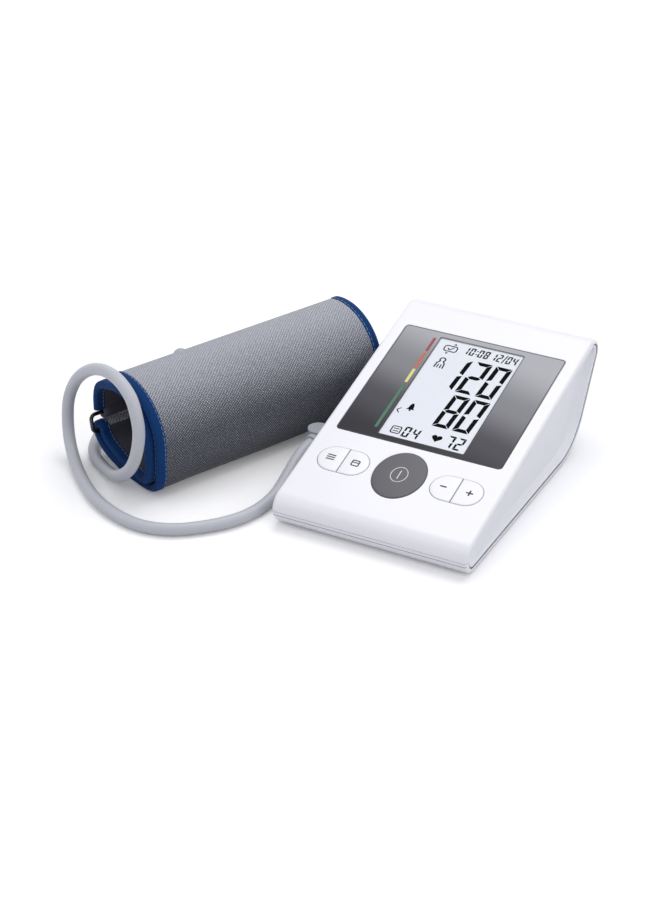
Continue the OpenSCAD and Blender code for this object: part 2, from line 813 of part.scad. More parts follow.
// Places a cross-section of the cuff along its axis, from one length to another
module along_cuff(from, to) {
    translate([cuff_x, cuff_y, 0]) rotate([0, 0, cuff_turn])
        translate([from, 0, 0]) rotate([90, 0, 90]) mirror([1, 0, 0]) linear_extrude(to - from) children();
}

half_t = cloth_t / 2;
cover_t = 1.1;
bladder_t = 1;
bladder_from = 2;
bladder_to = inner_count - 16;
bladder_margin = 10;
patch_t = 0.9;
patch_from = len(strip_path) - 16;
lining_to = inner_count - 12;

module cuff_cover() color(cuff_grey) difference() {
    along_cuff(binding_w, cuff_len - binding_w) difference() {
        union() {
            strip_2d(-half_t, -half_t + cover_t, 0, lining_to);
            strip_2d(-half_t, half_t, lining_to);
            translate(hem_bar) circle(r = ring_r + 1.9);
        }
        translate(hem_bar) circle(r = ring_r + 0.15);
    }
    // Room for the hook patch on the strap's inner face
    along_cuff(binding_w + 4, cuff_len - binding_w - 4)
        strip_2d(-half_t - 1, -half_t + patch_t, patch_from, len(strip_path) - 2);
    port_bore();
}

module cuff_lining() color("#3C3C44") difference() {
    along_cuff(binding_w, cuff_len - binding_w) difference() {
        strip_2d(-half_t + cover_t, half_t, 0, lining_to);
        strip_2d(-half_t + cover_t - 1, -half_t + cover_t + bladder_t, bladder_from, bladder_to);
        translate(hem_bar) circle(r = ring_r + 1.9);
    }
}

module air_bladder() color("#8A8F78") {
    along_cuff(bladder_margin, cuff_len - bladder_margin)
        strip_2d(-half_t + cover_t, -half_t + cover_t + bladder_t, bladder_from, bladder_to);
}

module hook_patch() color("#2A2A2E") {
    along_cuff(binding_w + 4, cuff_len - binding_w - 4)
        strip_2d(-half_t, -half_t + patch_t, patch_from, len(strip_path) - 2);
}

module binding(from) {
    along_cuff(from, from + binding_w) difference() {
        union() {
            strip_2d(-half_t - binding_proud, half_t + binding_proud);
            translate(hem_bar) circle(r = ring_r + 1.9);
        }
        translate(hem_bar) circle(r = ring_r + 0.15);
    }
}

module cuff_binding_near() color(binding_blue) binding(0);
module cuff_binding_far() color(binding_blue) binding(cuff_len - binding_w);

ring_bend = 2.5;
ring_near = -2.3;
ring_far = cuff_len + 2.5;

// The metal ring: two long bars beside the fold, joined past the cuff's ends
module cuff_ring() color("#1A1A1C") {
    span = hem_bar - fold_bar;
    gap = norm(span);
    low = ring_near + ring_bend;
    high = ring_far - ring_bend;
    in_cuff(0, fold_bar) rotate([atan2(span[0], span[1]), 0, 0]) {
        for (z = [0, gap]) translate([low, 0, z]) rotate([0, 90, 0]) cylinder(r = ring_r, h = high - low, $fn = 32);
        for (x = [ring_near, ring_far]) translate([x, 0, ring_bend])
            cylinder(r = ring_r, h = gap - 2 * ring_bend, $fn = 32);
        ring_corner(low, ring_bend, 180);
        ring_corner(low, gap - ring_bend, 90);
        ring_corner(high, ring_bend, 270);
        ring_corner(high, gap - ring_bend, 0);
    }
}

module ring_corner(x, z, turn) {
    translate([x, 0, z]) rotate([90, 0, 0]) rotate([0, 0, turn])
        rotate_extrude(angle = 90, $fn = 32) translate([ring_bend, 0]) circle(ring_r);
}

// ---- hose port on the cuff ----

port_off = 57;
port_angle = 168;
port_lean = 180 - port_angle;
port_at = roll_point(port_angle, outer_depth);
port_hole_r = 2.2;
port_r = 3.6;
port_reach = 8.5;
port_base_t = 1.2;
// The collar points down and forwards along the cuff, and a little away from it
port_dip = 50;
port_swing = 22;
port_len = 12;
port_elbow = port_at + port_reach * [-cos(port_lean), sin(port_lean)];

// Places children in the cuff's frame, z up, off along its length
module in_cuff(off, at) {
    translate([cuff_x, cuff_y, 0]) rotate([0, 0, cuff_turn]) translate([off, -at[0], at[1]]) children();
}

module port_bore() {
    in_cuff(port_off, port_at) rotate([port_lean - 90, 0, 0]) cylinder(r = port_hole_r + 0.1, h = 6);
}

module port_collar(r, h) {
    in_cuff(port_off, port_elbow) rotate([0, 0, -port_swing]) rotate([0, -90 - port_dip, 0])
        translate([0, 0, port_len - h]) cylinder(r = r, h = h);
}

module hose_port() color("#B8BAC0") {
    difference() {
        union() {
            in_cuff(port_off, port_at) rotate([port_lean - 90, 0, 0]) {
                // Spigot through the cover and base plate on the cloth
                translate([0, 0, 0.6]) cylinder(r = port_hole_r, h = port_reach - 0.6);
                translate([0, 0, half_t + 0.1]) cylinder(r = 5, h = port_base_t);
                translate([0, 0, half_t + 1]) cylinder(r = port_r - 0.6, h = port_reach - half_t - 1);
            }
            in_cuff(port_off, port_elbow) sphere(port_r + 0.2);
            port_collar(port_r, port_len);
        }
        in_cuff(port_off, port_at) rotate([port_lean - 90, 0, 0]) cylinder(r = 0.9, h = port_reach);
        port_collar(1.3, port_len + 0.5);
    }
}

// ---- air plug, pushed into the socket on the left cheek ----

plug_x = -60;
plug_exit_y = 58;
plug_r = 4.4;
plug_bore_r = 1.4;
plug_face_x = socket_face_x - 0.2;

module hose_plug() color(hose_grey) in_unit() {
    difference() {
        union() {
            translate([plug_face_x - eps, 0, 0]) at_socket()
                cylinder(r = spigot_r, h = socket_bore_end_x - plug_face_x - 0.3);
            translate([plug_x, 0, 0]) at_socket() cylinder(r = plug_r, h = plug_face_x - plug_x);
            translate([plug_face_x - 2.5, 0, 0]) at_socket() cylinder(r = plug_r + 1.2, h = 2.5);
            // Hub where the passage turns towards the hose
            translate([plug_x, socket_y, socket_z - plug_r - 0.4]) cylinder(r = plug_r + 0.8, h = 2 * plug_r + 0.8);
            translate([plug_x, plug_exit_y, socket_z]) rotate([-90, 0, 0])
                cylinder(r1 = hose_d / 2 + 0.8, r2 = plug_r, h = socket_y - plug_exit_y);
        }
        translate([plug_x - plug_bore_r - 0.2, 0, 0]) at_socket() cylinder(r = plug_bore_r, h = -plug_x);
        translate([plug_x, plug_exit_y - 1, socket_z]) rotate([-90, 0, 0])
            cylinder(r = plug_bore_r - 0.3, h = socket_y - plug_exit_y + 1.5);
    }
}

// ---- air hose, from the plug round the cuff's end to its port ----

hose_route = [[-3, -17, 12.6], [-3, -24, 12.4], [-3, -31, 11], [-2.5, -41, 8], [-2, -53, 4.5], [-3, -65, 3.1],
    [-6, -77, 3.1], [-12, -87, 3.1], [-19, -94.5, 3.1], [-27, -101, 3.1], [-37, -105.5, 3.1],
    [-49, -106.5, 3.1], [-63, -103, 3.1], [-77, -96, 3.1], [-90, -86, 3.1], [-101, -76, 4], [-110, -67, 8.5],
    [-115, -61, 16.5], [-115.5, -58.5, 28], [-111, -59, 39], [-102, -63.5, 49], [-91, -69, 56.5],
    [-80, -74.5, 60], [-70, -79.5, 59.5], [-62, -83.5, 55], [-57.5, -86.5, 48], [-56, -87.5, 40],
    [-57, -88, 31], [-60, -87.5, 22.5], [-65.5, -85.5, 15], [-74, -81, 8.5], [-82, -75, 4.6],
    [-89.8, -69.6, 3.2], [-96.8, -64.6, 3.1], [-101.07, -60.03, 3.1],
    [-104.49, -54.77, 3.15], [-106.91, -48.95, 3.44], [-108.22, -42.8, 4.08],
    [-108.38, -36.58, 5.18], [-107.41, -30.53, 6.76], [-105.43, -24.92, 8.86],
    [-102.6, -19.96, 11.48], [-99.17, -15.77, 14.63], [-95.46, -12.4, 18.35],
    [-91.99, -9.64, 22.74], [-90.39, -8.1, 25.38]];
hose_sides = 10;

function middle(a, b, c, d) = (9 * (b + c) - a - d) / 16;
hose_points = [for (i = [0 : 2 * len(hose_route) - 2])
    let (k = floor(i / 2), last = len(hose_route) - 1)
    i % 2 == 0 ? hose_route[k]
        : middle(hose_route[max(k - 1, 0)], hose_route[k], hose_route[k + 1], hose_route[min(k + 2, last)])];
hose_last = len(hose_points) - 1;
hose_along = [for (i = [0 : hose_last])
    let (way = hose_points[min(i + 1, hose_last)] - hose_points[max(i - 1, 0)])
    i == 0 ? [0, -1, 0] : way / norm(way)];

// A direction across the hose at each ring, carried along without twist
function across_hose(i, last) =
    let (n = last - (last * hose_along[i]) * hose_along[i], unit = n / norm(n))
    i == hose_last ? [unit] : concat([unit], across_hose(i + 1, unit));

module air_hose() color(hose_grey) {
    side = across_hose(0, [0, 0, 1]);
    points = [for (i = [0 : hose_last], j = [0 : hose_sides - 1])
        let (a = 360 * j / hose_sides)
        hose_points[i] + hose_d / 2 * (cos(a) * side[i] + sin(a) * cross(hose_along[i], side[i]))];
    walls = [for (i = [0 : hose_last - 1], j = [0 : hose_sides - 1], half = [0, 1])
        let (a = i * hose_sides + j, b = i * hose_sides + (j + 1) % hose_sides)
        half == 0 ? [a, b + hose_sides, b] : [a, a + hose_sides, b + hose_sides]];
    start = [for (j = [0 : hose_sides - 1]) j];
    end = [for (j = [hose_sides - 1 : -1 : 0]) hose_last * hose_sides + j];
    polyhedron(points = points, faces = concat(walls, [start, end]));
}

front_cover();
rear_cover();
left_cheek();
right_cheek();
display_window();
lcd_panel();
lcd_holder();
zebra_strip();
power_button();
set_button();
memory_button();
minus_button();
plus_button();
key_mat();
main_board();
board_parts();
buzzer();
pressure_sensor();
pump_motor();
pump_shaft();
pump_head();
pump_diaphragm();
pump_sleeve();
release_valve();
valve_plunger();
inner_tubes();
air_socket();
battery_cover();
battery_contacts();
batteries();
rubber_feet();
housing_screws();
board_screws();
cuff_cover();
cuff_lining();
cuff_binding_near();
cuff_binding_far();
air_bladder();
hook_patch();
cuff_ring();
hose_port();
air_hose();
hose_plug();
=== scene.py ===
"""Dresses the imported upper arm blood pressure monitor: a desk unit, its rolled cuff and the air hose.

Lengths are in millimetres, and the scene is in metres.
"""
import math

import bmesh
import bpy
from mathutils import Matrix, Vector


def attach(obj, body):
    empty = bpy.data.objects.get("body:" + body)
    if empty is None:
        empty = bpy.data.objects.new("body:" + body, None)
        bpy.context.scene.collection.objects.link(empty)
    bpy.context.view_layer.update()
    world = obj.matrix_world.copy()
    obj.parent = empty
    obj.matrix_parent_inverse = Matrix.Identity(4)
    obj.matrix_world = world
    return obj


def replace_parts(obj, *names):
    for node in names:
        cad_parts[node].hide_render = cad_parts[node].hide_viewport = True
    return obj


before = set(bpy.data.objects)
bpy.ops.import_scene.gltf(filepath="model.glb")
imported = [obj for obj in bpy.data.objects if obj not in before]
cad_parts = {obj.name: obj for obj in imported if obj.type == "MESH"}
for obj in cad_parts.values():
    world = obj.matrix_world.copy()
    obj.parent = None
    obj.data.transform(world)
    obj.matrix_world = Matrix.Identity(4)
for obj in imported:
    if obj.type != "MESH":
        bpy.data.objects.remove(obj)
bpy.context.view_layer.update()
MM = 0.001


def new_object(name, data):
    """Puts a mesh, a lamp or a camera into the scene."""
    obj = bpy.data.objects.new(name, data)
    bpy.context.collection.objects.link(obj)
    return obj


def set_uvs(mesh, uvs):
    """Gives each face's corners their UV in centimetres."""
    layer = mesh.uv_layers.new(name="cm")
    layer.data.foreach_set("uv", [c for face in uvs for uv in face for c in uv])


# ---------------------------------------------------------------- camera

IMAGE_HEIGHT = 900
FOCAL_PX = 2069.0
SENSOR = 36
CAMERA_AT = (410.8, -788.2, 517.4)
CAMERA_DOWN = 30.16
CAMERA_TURN = 27.6

camera_data = bpy.data.cameras.new("camera")
camera_data.sensor_fit = "VERTICAL"
camera_data.sensor_height = SENSOR
camera_data.lens = FOCAL_PX * SENSOR / IMAGE_HEIGHT
camera_data.clip_end = 20
camera = new_object("camera", camera_data)
camera.location = Vector(CAMERA_AT) * MM
camera.rotation_euler = (math.radians(90 - CAMERA_DOWN), 0, math.radians(CAMERA_TURN))
bpy.context.scene.camera = camera

# ---------------------------------------------------------------- air hose, from port to plug

HOSE_D = 6.0
HOSE_ROUTE = [
    (-3, -17, 12.6), (-3, -24, 12.4), (-3, -31, 11), (-2.5, -41, 8), (-2, -53, 4.5), (-3, -65, 3.1),
    (-6, -77, 3.1), (-12, -87, 3.1), (-19, -94.5, 3.1), (-27, -101, 3.1), (-37, -105.5, 3.1),
    (-49, -106.5, 3.1), (-63, -103, 3.1), (-77, -96, 3.1), (-90, -86, 3.1), (-101, -76, 4), (-110, -67, 8.5),
    (-115, -61, 16.5), (-115.5, -58.5, 28), (-111, -59, 39), (-102, -63.5, 49), (-91, -69, 56.5),
    (-80, -74.5, 60), (-70, -79.5, 59.5), (-62, -83.5, 55), (-57.5, -86.5, 48), (-56, -87.5, 40),
    (-57, -88, 31), (-60, -87.5, 22.5), (-65.5, -85.5, 15), (-74, -81, 8.5), (-82, -75, 4.6),
    (-89.8, -69.6, 3.2), (-96.8, -64.6, 3.1), (-101.07, -60.03, 3.1),
    (-104.49, -54.77, 3.15), (-106.91, -48.95, 3.44), (-108.22, -42.8, 4.08),
    (-108.38, -36.58, 5.18), (-107.41, -30.53, 6.76), (-105.43, -24.92, 8.86),
    (-102.6, -19.96, 11.48), (-99.17, -15.77, 14.63), (-95.46, -12.4, 18.35),
    (-91.99, -9.64, 22.74), (-90.39, -8.1, 25.38),
]


def smooth_route(points, parts=6):
    """Points along a Catmull-Rom curve through the given ones."""
    out = []
    for k in range(len(points) - 1):
        a, b, c, d = (Vector(points[max(0, min(len(points) - 1, k + j))]) for j in (-1, 0, 1, 2))
        for i in range(parts):
            t = i / parts
            square, cube = 2 * a - 5 * b + 4 * c - d, 3 * b - a - 3 * c + d
            out.append(0.5 * (2 * b + (c - a) * t + square * t * t + cube * t ** 3))
    return out + [Vector(points[-1])]


def tube(name, line, radius, sides=24):
    """A round tube along a line of points in millimetres, its section carried along without twist."""
    verts, faces, uvs = [], [], []
    ways = [(line[min(i + 1, len(line) - 1)] - line[max(i - 1, 0)]).normalized() for i in range(len(line))]
    side = Vector((0, 0, 1))
    run = 0.0
    for i, (at, way) in enumerate(zip(line, ways)):
        side = (side - way * way.dot(side)).normalized()
        other = way.cross(side)
        for j in range(sides):
            a = 2 * math.pi * j / sides
            verts.append((at + side * (radius * math.cos(a)) + other * (radius * math.sin(a))) * MM)
        if i:
            step = (line[i] - line[i - 1]).length
            for j in range(sides):
                p, q = (i - 1) * sides + j, (i - 1) * sides + (j + 1) % sides
                faces.append((p, q, q + sides, p + sides))
                around = [2 * math.pi * radius * (j + d) / sides / 10 for d in (0, 1, 1, 0)]
                uvs.append(list(zip(around, (run / 10, run / 10, (run + step) / 10, (run + step) / 10))))
            run += step
    faces += [tuple(reversed(range(sides))), tuple(range(len(verts) - sides, len(verts)))]
    uvs += [[(0, 0)] * sides] * 2
    mesh = bpy.data.meshes.new(name)
    mesh.from_pydata(verts, [], faces)
    set_uvs(mesh, uvs)
    mesh.shade_smooth()
    return new_object(name, mesh)


hose_line = smooth_route(HOSE_ROUTE)
hose = tube("air_hose_tube", hose_line, HOSE_D / 2)
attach(hose, "arm_cuff")
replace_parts(hose, "air_hose")

# ---------------------------------------------------------------- node helpers


def new_material(name):
    """A material and a function that adds nodes to it."""
    mat = bpy.data.materials.new(name)
    mat.use_nodes = True
    tree = mat.node_tree
    shader = tree.nodes["Principled BSDF"]

    def add(kind, inputs=None, **props):
        node = tree.nodes.new(kind)
        for key, value in props.items():
            setattr(node, key, value)
        for key, value in (inputs or {}).items():
            if isinstance(value, bpy.types.NodeSocket):
                tree.links.new(value, node.inputs[key])
            else:
                node.inputs[key].default_value = value
        return node

    def link(a, b):
        tree.links.new(a, b)

    return mat, shader, add, link


def rgb(text):
    """A linear colour from an sRGB hex code."""
    parts = [int(text[i : i + 2], 16) / 255 for i in (0, 2, 4)]
    return tuple(c / 12.92 if c <= 0.04045 else ((c + 0.055) / 1.055) ** 2.4 for c in parts) + (1.0,)


def ramp(add, fac, stops, interpolation="LINEAR"):
    node = add("ShaderNodeValToRGB", {"Fac": fac})
    node.color_ramp.interpolation = interpolation
    while len(node.color_ramp.elements) < len(stops):
        node.color_ramp.elements.new(0.5)
    for element, (at, colour) in zip(node.color_ramp.elements, stops):
        element.position = at
        element.color = colour
    return node.outputs["Color"]


def grey(v):
    return (v, v, v, 1.0)


def darker(colour, factor):
    return tuple(c * factor for c in colour[:3]) + (1.0,)


def maths(add, operation, *values):
    """The output of a math node."""
    return add("ShaderNodeMath", dict(enumerate(values)), operation=operation).outputs[0]


def noise(add, at, scale, detail=2):
    return add("ShaderNodeTexNoise", {"Vector": at, "Scale": scale, "Detail": detail}).outputs["Fac"]


def set_inputs(shader, values):
    for key, value in values.items():
        shader.inputs[key].default_value = value


def plastic(name, colour, rough=0.35, grain=900, bump=0.04, coat=0.0, spread=0.03, vary=0.05):
    """Moulded plastic with a fine grain and faint, uneven shade."""
    mat, shader, add, link = new_material(name)
    colour = rgb(colour)
    at = add("ShaderNodeTexCoord").outputs["Object"]
    fine = noise(add, at, grain, 3)
    tones = [(0.35, darker(colour, 1 - spread)), (0.65, colour)]
    link(ramp(add, noise(add, at, 26), tones), shader.inputs["Base Color"])
    shine = [(0.3, grey(max(0.02, rough - vary))), (0.7, grey(rough + vary))]
    link(ramp(add, fine, shine), shader.inputs["Roughness"])
    lift = add("ShaderNodeBump", {"Height": fine, "Strength": bump, "Distance": 0.0002})
    link(lift.outputs["Normal"], shader.inputs["Normal"])
    set_inputs(shader, {"Coat Weight": coat, "Coat Roughness": 0.08})
    return mat


def metal(name, colour, rough=0.3, stretch=(1, 40, 40)):
    """Drawn or plated metal with faint marks along one way."""
    mat, shader, add, link = new_material(name)
    colour = rgb(colour)
    at = add("ShaderNodeTexCoord").outputs["Object"]
    turned = add("ShaderNodeMapping", {"Vector": at, "Scale": stretch}).outputs["Vector"]
    marks = noise(add, turned, 120, 4)
    link(ramp(add, marks, [(0.3, darker(colour, 0.8)), (0.7, colour)]), shader.inputs["Base Color"])
    link(ramp(add, marks, [(0.3, grey(rough)), (0.7, grey(rough + 0.12))]), shader.inputs["Roughness"])
    shader.inputs["Metallic"].default_value = 1.0
    return mat


def cloth(name, dark, mid, light, rib=1.15, slant=38, strength=0.5, speckle=1.0, sheen=0.25, painted_top_light=0.0):
    """Knitted or woven cloth on UVs in centimetres: slanted ribs broken up by coloured fibres.

    Its last argument paints light into the colour of what faces up and shade into what faces down.
    """
    mat, shader, add, link = new_material(name)
    dark, mid, light = rgb(dark), rgb(mid), rgb(light)
    uv = add("ShaderNodeUVMap", uv_map="cm").outputs["UV"]
    turned = add("ShaderNodeMapping", {"Vector": uv, "Rotation": (0, 0, math.radians(slant)),
                                       "Scale": (10, 10, 10)}).outputs["Vector"]
    wobble = add("ShaderNodeTexNoise", {"Vector": uv, "Scale": 9, "Detail": 3}).outputs["Color"]
    moved = add("ShaderNodeVectorMath", {0: turned, 1: wobble}, operation="ADD").outputs["Vector"]
    ribs = add("ShaderNodeTexWave", {"Vector": moved, "Scale": 0.314 / rib, "Distortion": 0.6, "Detail": 2,
                                     "Detail Scale": 4}, bands_direction="X").outputs["Fac"]
    loops = add("ShaderNodeTexWave", {"Vector": moved, "Scale": 0.314 / rib * 1.25, "Distortion": 1.2,
                                      "Detail": 1}, bands_direction="Y").outputs["Fac"]
    fibre = add("ShaderNodeTexNoise", {"Vector": uv, "Scale": 28, "Detail": 4,
                                       "Roughness": 0.8}).outputs["Fac"]
    mixed = maths(add, "MULTIPLY_ADD", maths(add, "MULTIPLY", ribs, loops), 0.42, 0.5 - 0.5 * speckle)
    tone = maths(add, "MULTIPLY_ADD", fibre, speckle, mixed)
    # Painted light and shade: the tone is raised where the surface faces up and lowered where it faces down.
    facing = add("ShaderNodeNewGeometry").outputs["Normal"]
    upward = add("ShaderNodeSeparateXYZ", {"Vector": facing}).outputs["Z"]
    lit = maths(add, "MULTIPLY_ADD", maths(add, "SUBTRACT", upward, 0.5), painted_top_light, tone)
    stops = [(0.1, darker(dark, 0.3)), (0.38, dark), (0.62, mid), (0.86, light)]
    link(ramp(add, lit, stops), shader.inputs["Base Color"])
    bump = add("ShaderNodeBump", {"Height": tone, "Strength": strength, "Distance": 0.0005})
    link(bump.outputs["Normal"], shader.inputs["Normal"])
    set_inputs(shader, {"Roughness": 0.92, "Sheen Weight": sheen, "Sheen Roughness": 0.5,
                        "Specular IOR Level": 0.2})
    return mat


WHITE = plastic("white_gloss", "ECECF1", rough=0.3, bump=0.004, coat=0.15, spread=0.01, vary=0.015)
WHITE_SATIN = plastic("cheek_satin", "F0F1F5", rough=0.42, grain=1500, bump=0.03, spread=0.01, vary=0.02)
KEY_WHITE = plastic("key_white", "EDEDF1", rough=0.3, bump=0.005, coat=0.15, spread=0.01, vary=0.015)
KEY_GREY = plastic("key_grey", "4E4E53", rough=0.38, bump=0.03, spread=0.05)
MARK_LIGHT = plastic("mark_light", "E4E6EA", rough=0.4)
# Grey for painted shade: thin bands that stand for the shadow in gaps and seams.
GAP_SHADE_GREY = plastic("painted_gap_shade", "66686E", rough=0.6)
DARK = plastic("dark_moulding", "26262A", rough=0.5)
PALE_PART = plastic("pale_moulding", "CFCFCB", rough=0.5)
RUBBER = plastic("dark_rubber", "3A3A3C", rough=0.75, grain=1800, bump=0.2)
SILICONE = plastic("silicone", "B4B6B8", rough=0.6)
BOARD = plastic("board", "1F5A30", rough=0.35)
CELL = plastic("cell_wrap", "2A5E42", rough=0.3, coat=0.3)
HOSE = plastic("hose", "BDBFC6", rough=0.42, grain=700, bump=0.03, spread=0.03)
PLUG = plastic("plug", "ACAEB6", rough=0.45, grain=900, bump=0.04)
STEEL = metal("plated_steel", "B9BBC2")
WIRE = plastic("ring_black", "151517", rough=0.25, coat=0.6)
# The knit gets painted light on its upper side and painted shade on its lower side.
KNIT = cloth("knit", "3C3F47", "72757E", "C6C8D0", speckle=1.35, painted_top_light=0.34)
LINING = cloth("lining", "3A3A44", "4B4A56", "65646F", rib=0.7, slant=45, strength=0.25,
               speckle=0.8, sheen=0.1)
NAVY = cloth("binding", "03234C", "06356C", "104C8C", rib=0.8, slant=0, strength=0.3,
             speckle=0.8, sheen=0.06)
THREAD = cloth("thread", "5F86B4", "7FA6D0", "A9C6E4", rib=0.3, slant=30)

# ---------------------------------------------------------------- mesh helpers


def mesh_object(name, verts, faces, material, smooth=True, slots=None, uvs=None):
    """An object from points in millimetres. slots gives each face's material, uvs each corner's UV in cm."""
    mesh = bpy.data.meshes.new(name)
    mesh.from_pydata([Vector(v) * MM for v in verts], [], faces)
    for m in material if isinstance(material, (list, tuple)) else [material]:
        mesh.materials.append(m)
    if slots:
        mesh.polygons.foreach_set("material_index", slots)
    if uvs:
        set_uvs(mesh, uvs)
    mesh.validate()
    face_outward(mesh)
    if smooth:
        mesh.shade_smooth()
    return new_object(name, mesh)


def face_outward(mesh):
    """Turns a closed mesh's faces round if they look inward."""
    bm = bmesh.new()
    bm.from_mesh(mesh)
    if bm.calc_volume(signed=True) < 0:
        bmesh.ops.reverse_faces(bm, faces=bm.faces)
        bm.to_mesh(mesh)
    bm.free()


def applied(obj):
    """Applies obj's modifiers."""
    graph = bpy.context.evaluated_depsgraph_get()
    mesh = bpy.data.meshes.new_from_object(obj.evaluated_get(graph))
    old = obj.data
    obj.modifiers.clear()
    obj.data = mesh
    bpy.data.meshes.remove(old)
    return obj


def cut(obj, cutter, operation="DIFFERENCE"):
    mod = obj.modifiers.new("cut", "BOOLEAN")
    mod.operation = operation
    mod.solver = "EXACT"
    mod.object = cutter
    applied(obj)
    bpy.data.objects.remove(cutter)
    return obj


def soften(obj, width, angle=35, segments=3):
    """Rounds sharp edges and shades what is left by angle."""
    mod = obj.modifiers.new("bevel", "BEVEL")
    mod.width = width * MM
    mod.segments = segments
    mod.limit_method = "ANGLE"
    mod.angle_limit = math.radians(angle)
    mod.harden_normals = False
    mod.miter_outer = "MITER_ARC"
    return shaded(applied(obj), 100)


def shaded(obj, weight=50):
    """Sharp edges past 40 degrees, and normals that follow the large faces."""
    sharp_by_angle(obj, 40)
    mod = obj.modifiers.new("normals", "WEIGHTED_NORMAL")
    mod.keep_sharp = True
    mod.weight = weight
    return applied(obj)


def sharp_by_angle(obj, degrees):
    bm = bmesh.new()
    bm.from_mesh(obj.data)
    limit = math.radians(degrees)
    for face in bm.faces:
        face.smooth = True
    for edge in bm.edges:
        if len(edge.link_faces) == 2:
            edge.smooth = edge.calc_face_angle(0) < limit
    bm.to_mesh(obj.data)
    bm.free()


def place(obj, matrix):
    obj.data.transform(matrix)
    return obj


def loft(name, loops, material, **kw):
    """Skins closed loops of equal length, capped with flat faces."""
    n = len(loops[0])
    verts = [p for loop in loops for p in loop]
    faces = [
        (k * n + i, k * n + (i + 1) % n, (k + 1) * n + (i + 1) % n, (k + 1) * n + i)
        for k in range(len(loops) - 1)
        for i in range(n)
    ]
    faces.append(tuple(reversed(range(n))))
    faces.append(tuple(range((len(loops) - 1) * n, len(loops) * n)))
    return mesh_object(name, verts, faces, material, **kw)


def prism(name, outline, low, high, material=None):
    """A straight solid on an outline in x and y, from z = low to z = high."""
    loops = [[(x, y, z) for x, y in outline] for z in (low, high)]
    return loft(name, loops, material or WHITE, smooth=False)


# ---------------------------------------------------------------- desk unit: its outline seen from the side

UNIT_AT = (57, -75, 0.6)
UNIT_W, UNIT_D = 100.0, 155.5
TILT = math.radians(14.93)
BACK = math.radians(60.6)
NOSE_R, TOP_R, HEEL_R = 8.3, 8.0, 31.5
WALL, EDGE_R, CHEEK_FIT, CHEEK_RIM, CHEEK_SUNK = 2.2, 1.7, 0.15, 1.9, 0.4
SEAM_Z, SEAM_TILT, SEAM_GAP, LIP_DROP = 8.0, math.radians(11), 0.3, 1.8
RECESS_FRONT, RECESS_BACK = 1.6, 9.5
KEY_ROW_Y = 33.1


def face_z(y):
    return NOSE_R + NOSE_R / math.cos(TILT) + (y - NOSE_R) * math.tan(TILT)


def arc(cx, cy, r, a0, a1, steps):
    """Points on an arc from a0 to a1 degrees."""
    turns = [math.radians(a0 + (a1 - a0) * k / steps) for k in range(steps + 1)]
    return [(cx + r * math.cos(a), cy + r * math.sin(a)) for a in turns]


NOSE_C = (NOSE_R, NOSE_R)
TOP_C = (UNIT_D - TOP_R, face_z(UNIT_D - TOP_R) - TOP_R / math.cos(TILT))
BACK_P = (TOP_C[0] + TOP_R * math.sin(BACK), TOP_C[1] - TOP_R * math.cos(BACK))
BASE_END = BACK_P[0] - BACK_P[1] / math.tan(BACK)
HEEL_C = (BASE_END - HEEL_R * math.tan(BACK / 2), HEEL_R)


def outline(inset):
    """Points (y, z) round the side view, moved inward by inset."""
    slope, back = math.degrees(TILT), math.degrees(BACK)
    return (arc(*NOSE_C, NOSE_R - inset, 270, 90 + slope, 22)
            + arc(*TOP_C, TOP_R - inset, 90 + slope, back - 90, 18)
            + arc(*HEEL_C, HEEL_R - inset, back - 90, -90, 16))


def moved_by(x, y, z):
    return Matrix.Translation(Vector((x, y, z)) * MM)


TO_UNIT = moved_by(*UNIT_AT)
TO_FACE = TO_UNIT @ moved_by(0, KEY_ROW_Y, face_z(KEY_ROW_Y)) @ Matrix.Rotation(TILT, 4, "X")
TO_SEAM = moved_by(0, 0, SEAM_Z) @ Matrix.Rotation(SEAM_TILT, 4, "X")


def side_loop(x, inset):
    return [(x, y, z) for y, z in outline(inset)]


def across_unit(name, low, high, inset, material):
    """A solid on the side outline, moved inward by inset, from x = low to x = high."""
    return loft(name, [side_loop(low, inset), side_loop(high, inset)], material, smooth=False)


def outer_form(name, material, inset=0.0):
    """The closed outer form with rounded side edges, moved inward by inset."""
    turns = [math.radians(90 * k / 5) for k in range(6)]
    stations = [(UNIT_W / 2 - inset - EDGE_R * (1 - math.sin(a)), inset + EDGE_R * (1 - math.cos(a)))
                for a in turns]
    loops = [side_loop(-x, inset) for x, inset in reversed(stations)]
    loops += [side_loop(x, inset) for x, inset in stations]
    return loft(name, loops, material, smooth=False)


def rectangle(cx, half_w, half_h):
    return [(cx - half_w, -half_h), (cx + half_w, -half_h), (cx + half_w, half_h), (cx - half_w, half_h)]


def seam_block(half, low, high):
    """A square block along the parting line, between two heights over it."""
    return place(prism("block", rectangle(0, half, half), low, high), TO_SEAM)


def half_space(up, far=400):
    """A block above or below the parting line."""
    return seam_block(far, *sorted((up * SEAM_GAP / 2, up * far)))


def rounded_rect(cx, cy, w, h, r, steps=8):
    x, y = w / 2 - r, h / 2 - r
    corners = ((x, y), (-x, y), (-x, -y), (x, -y))
    return [p for k, (dx, dy) in enumerate(corners)
            for p in arc(cx + dx, cy + dy, r, 90 * k, 90 * k + 90, steps)]


def disc(cx, cy, r, steps=72, long=None):
    """A circle, or an oval with half-length long in y."""
    turns = [2 * math.pi * k / steps for k in range(steps)]
    return [(cx + r * math.cos(a), cy + (long or r) * math.sin(a)) for a in turns]


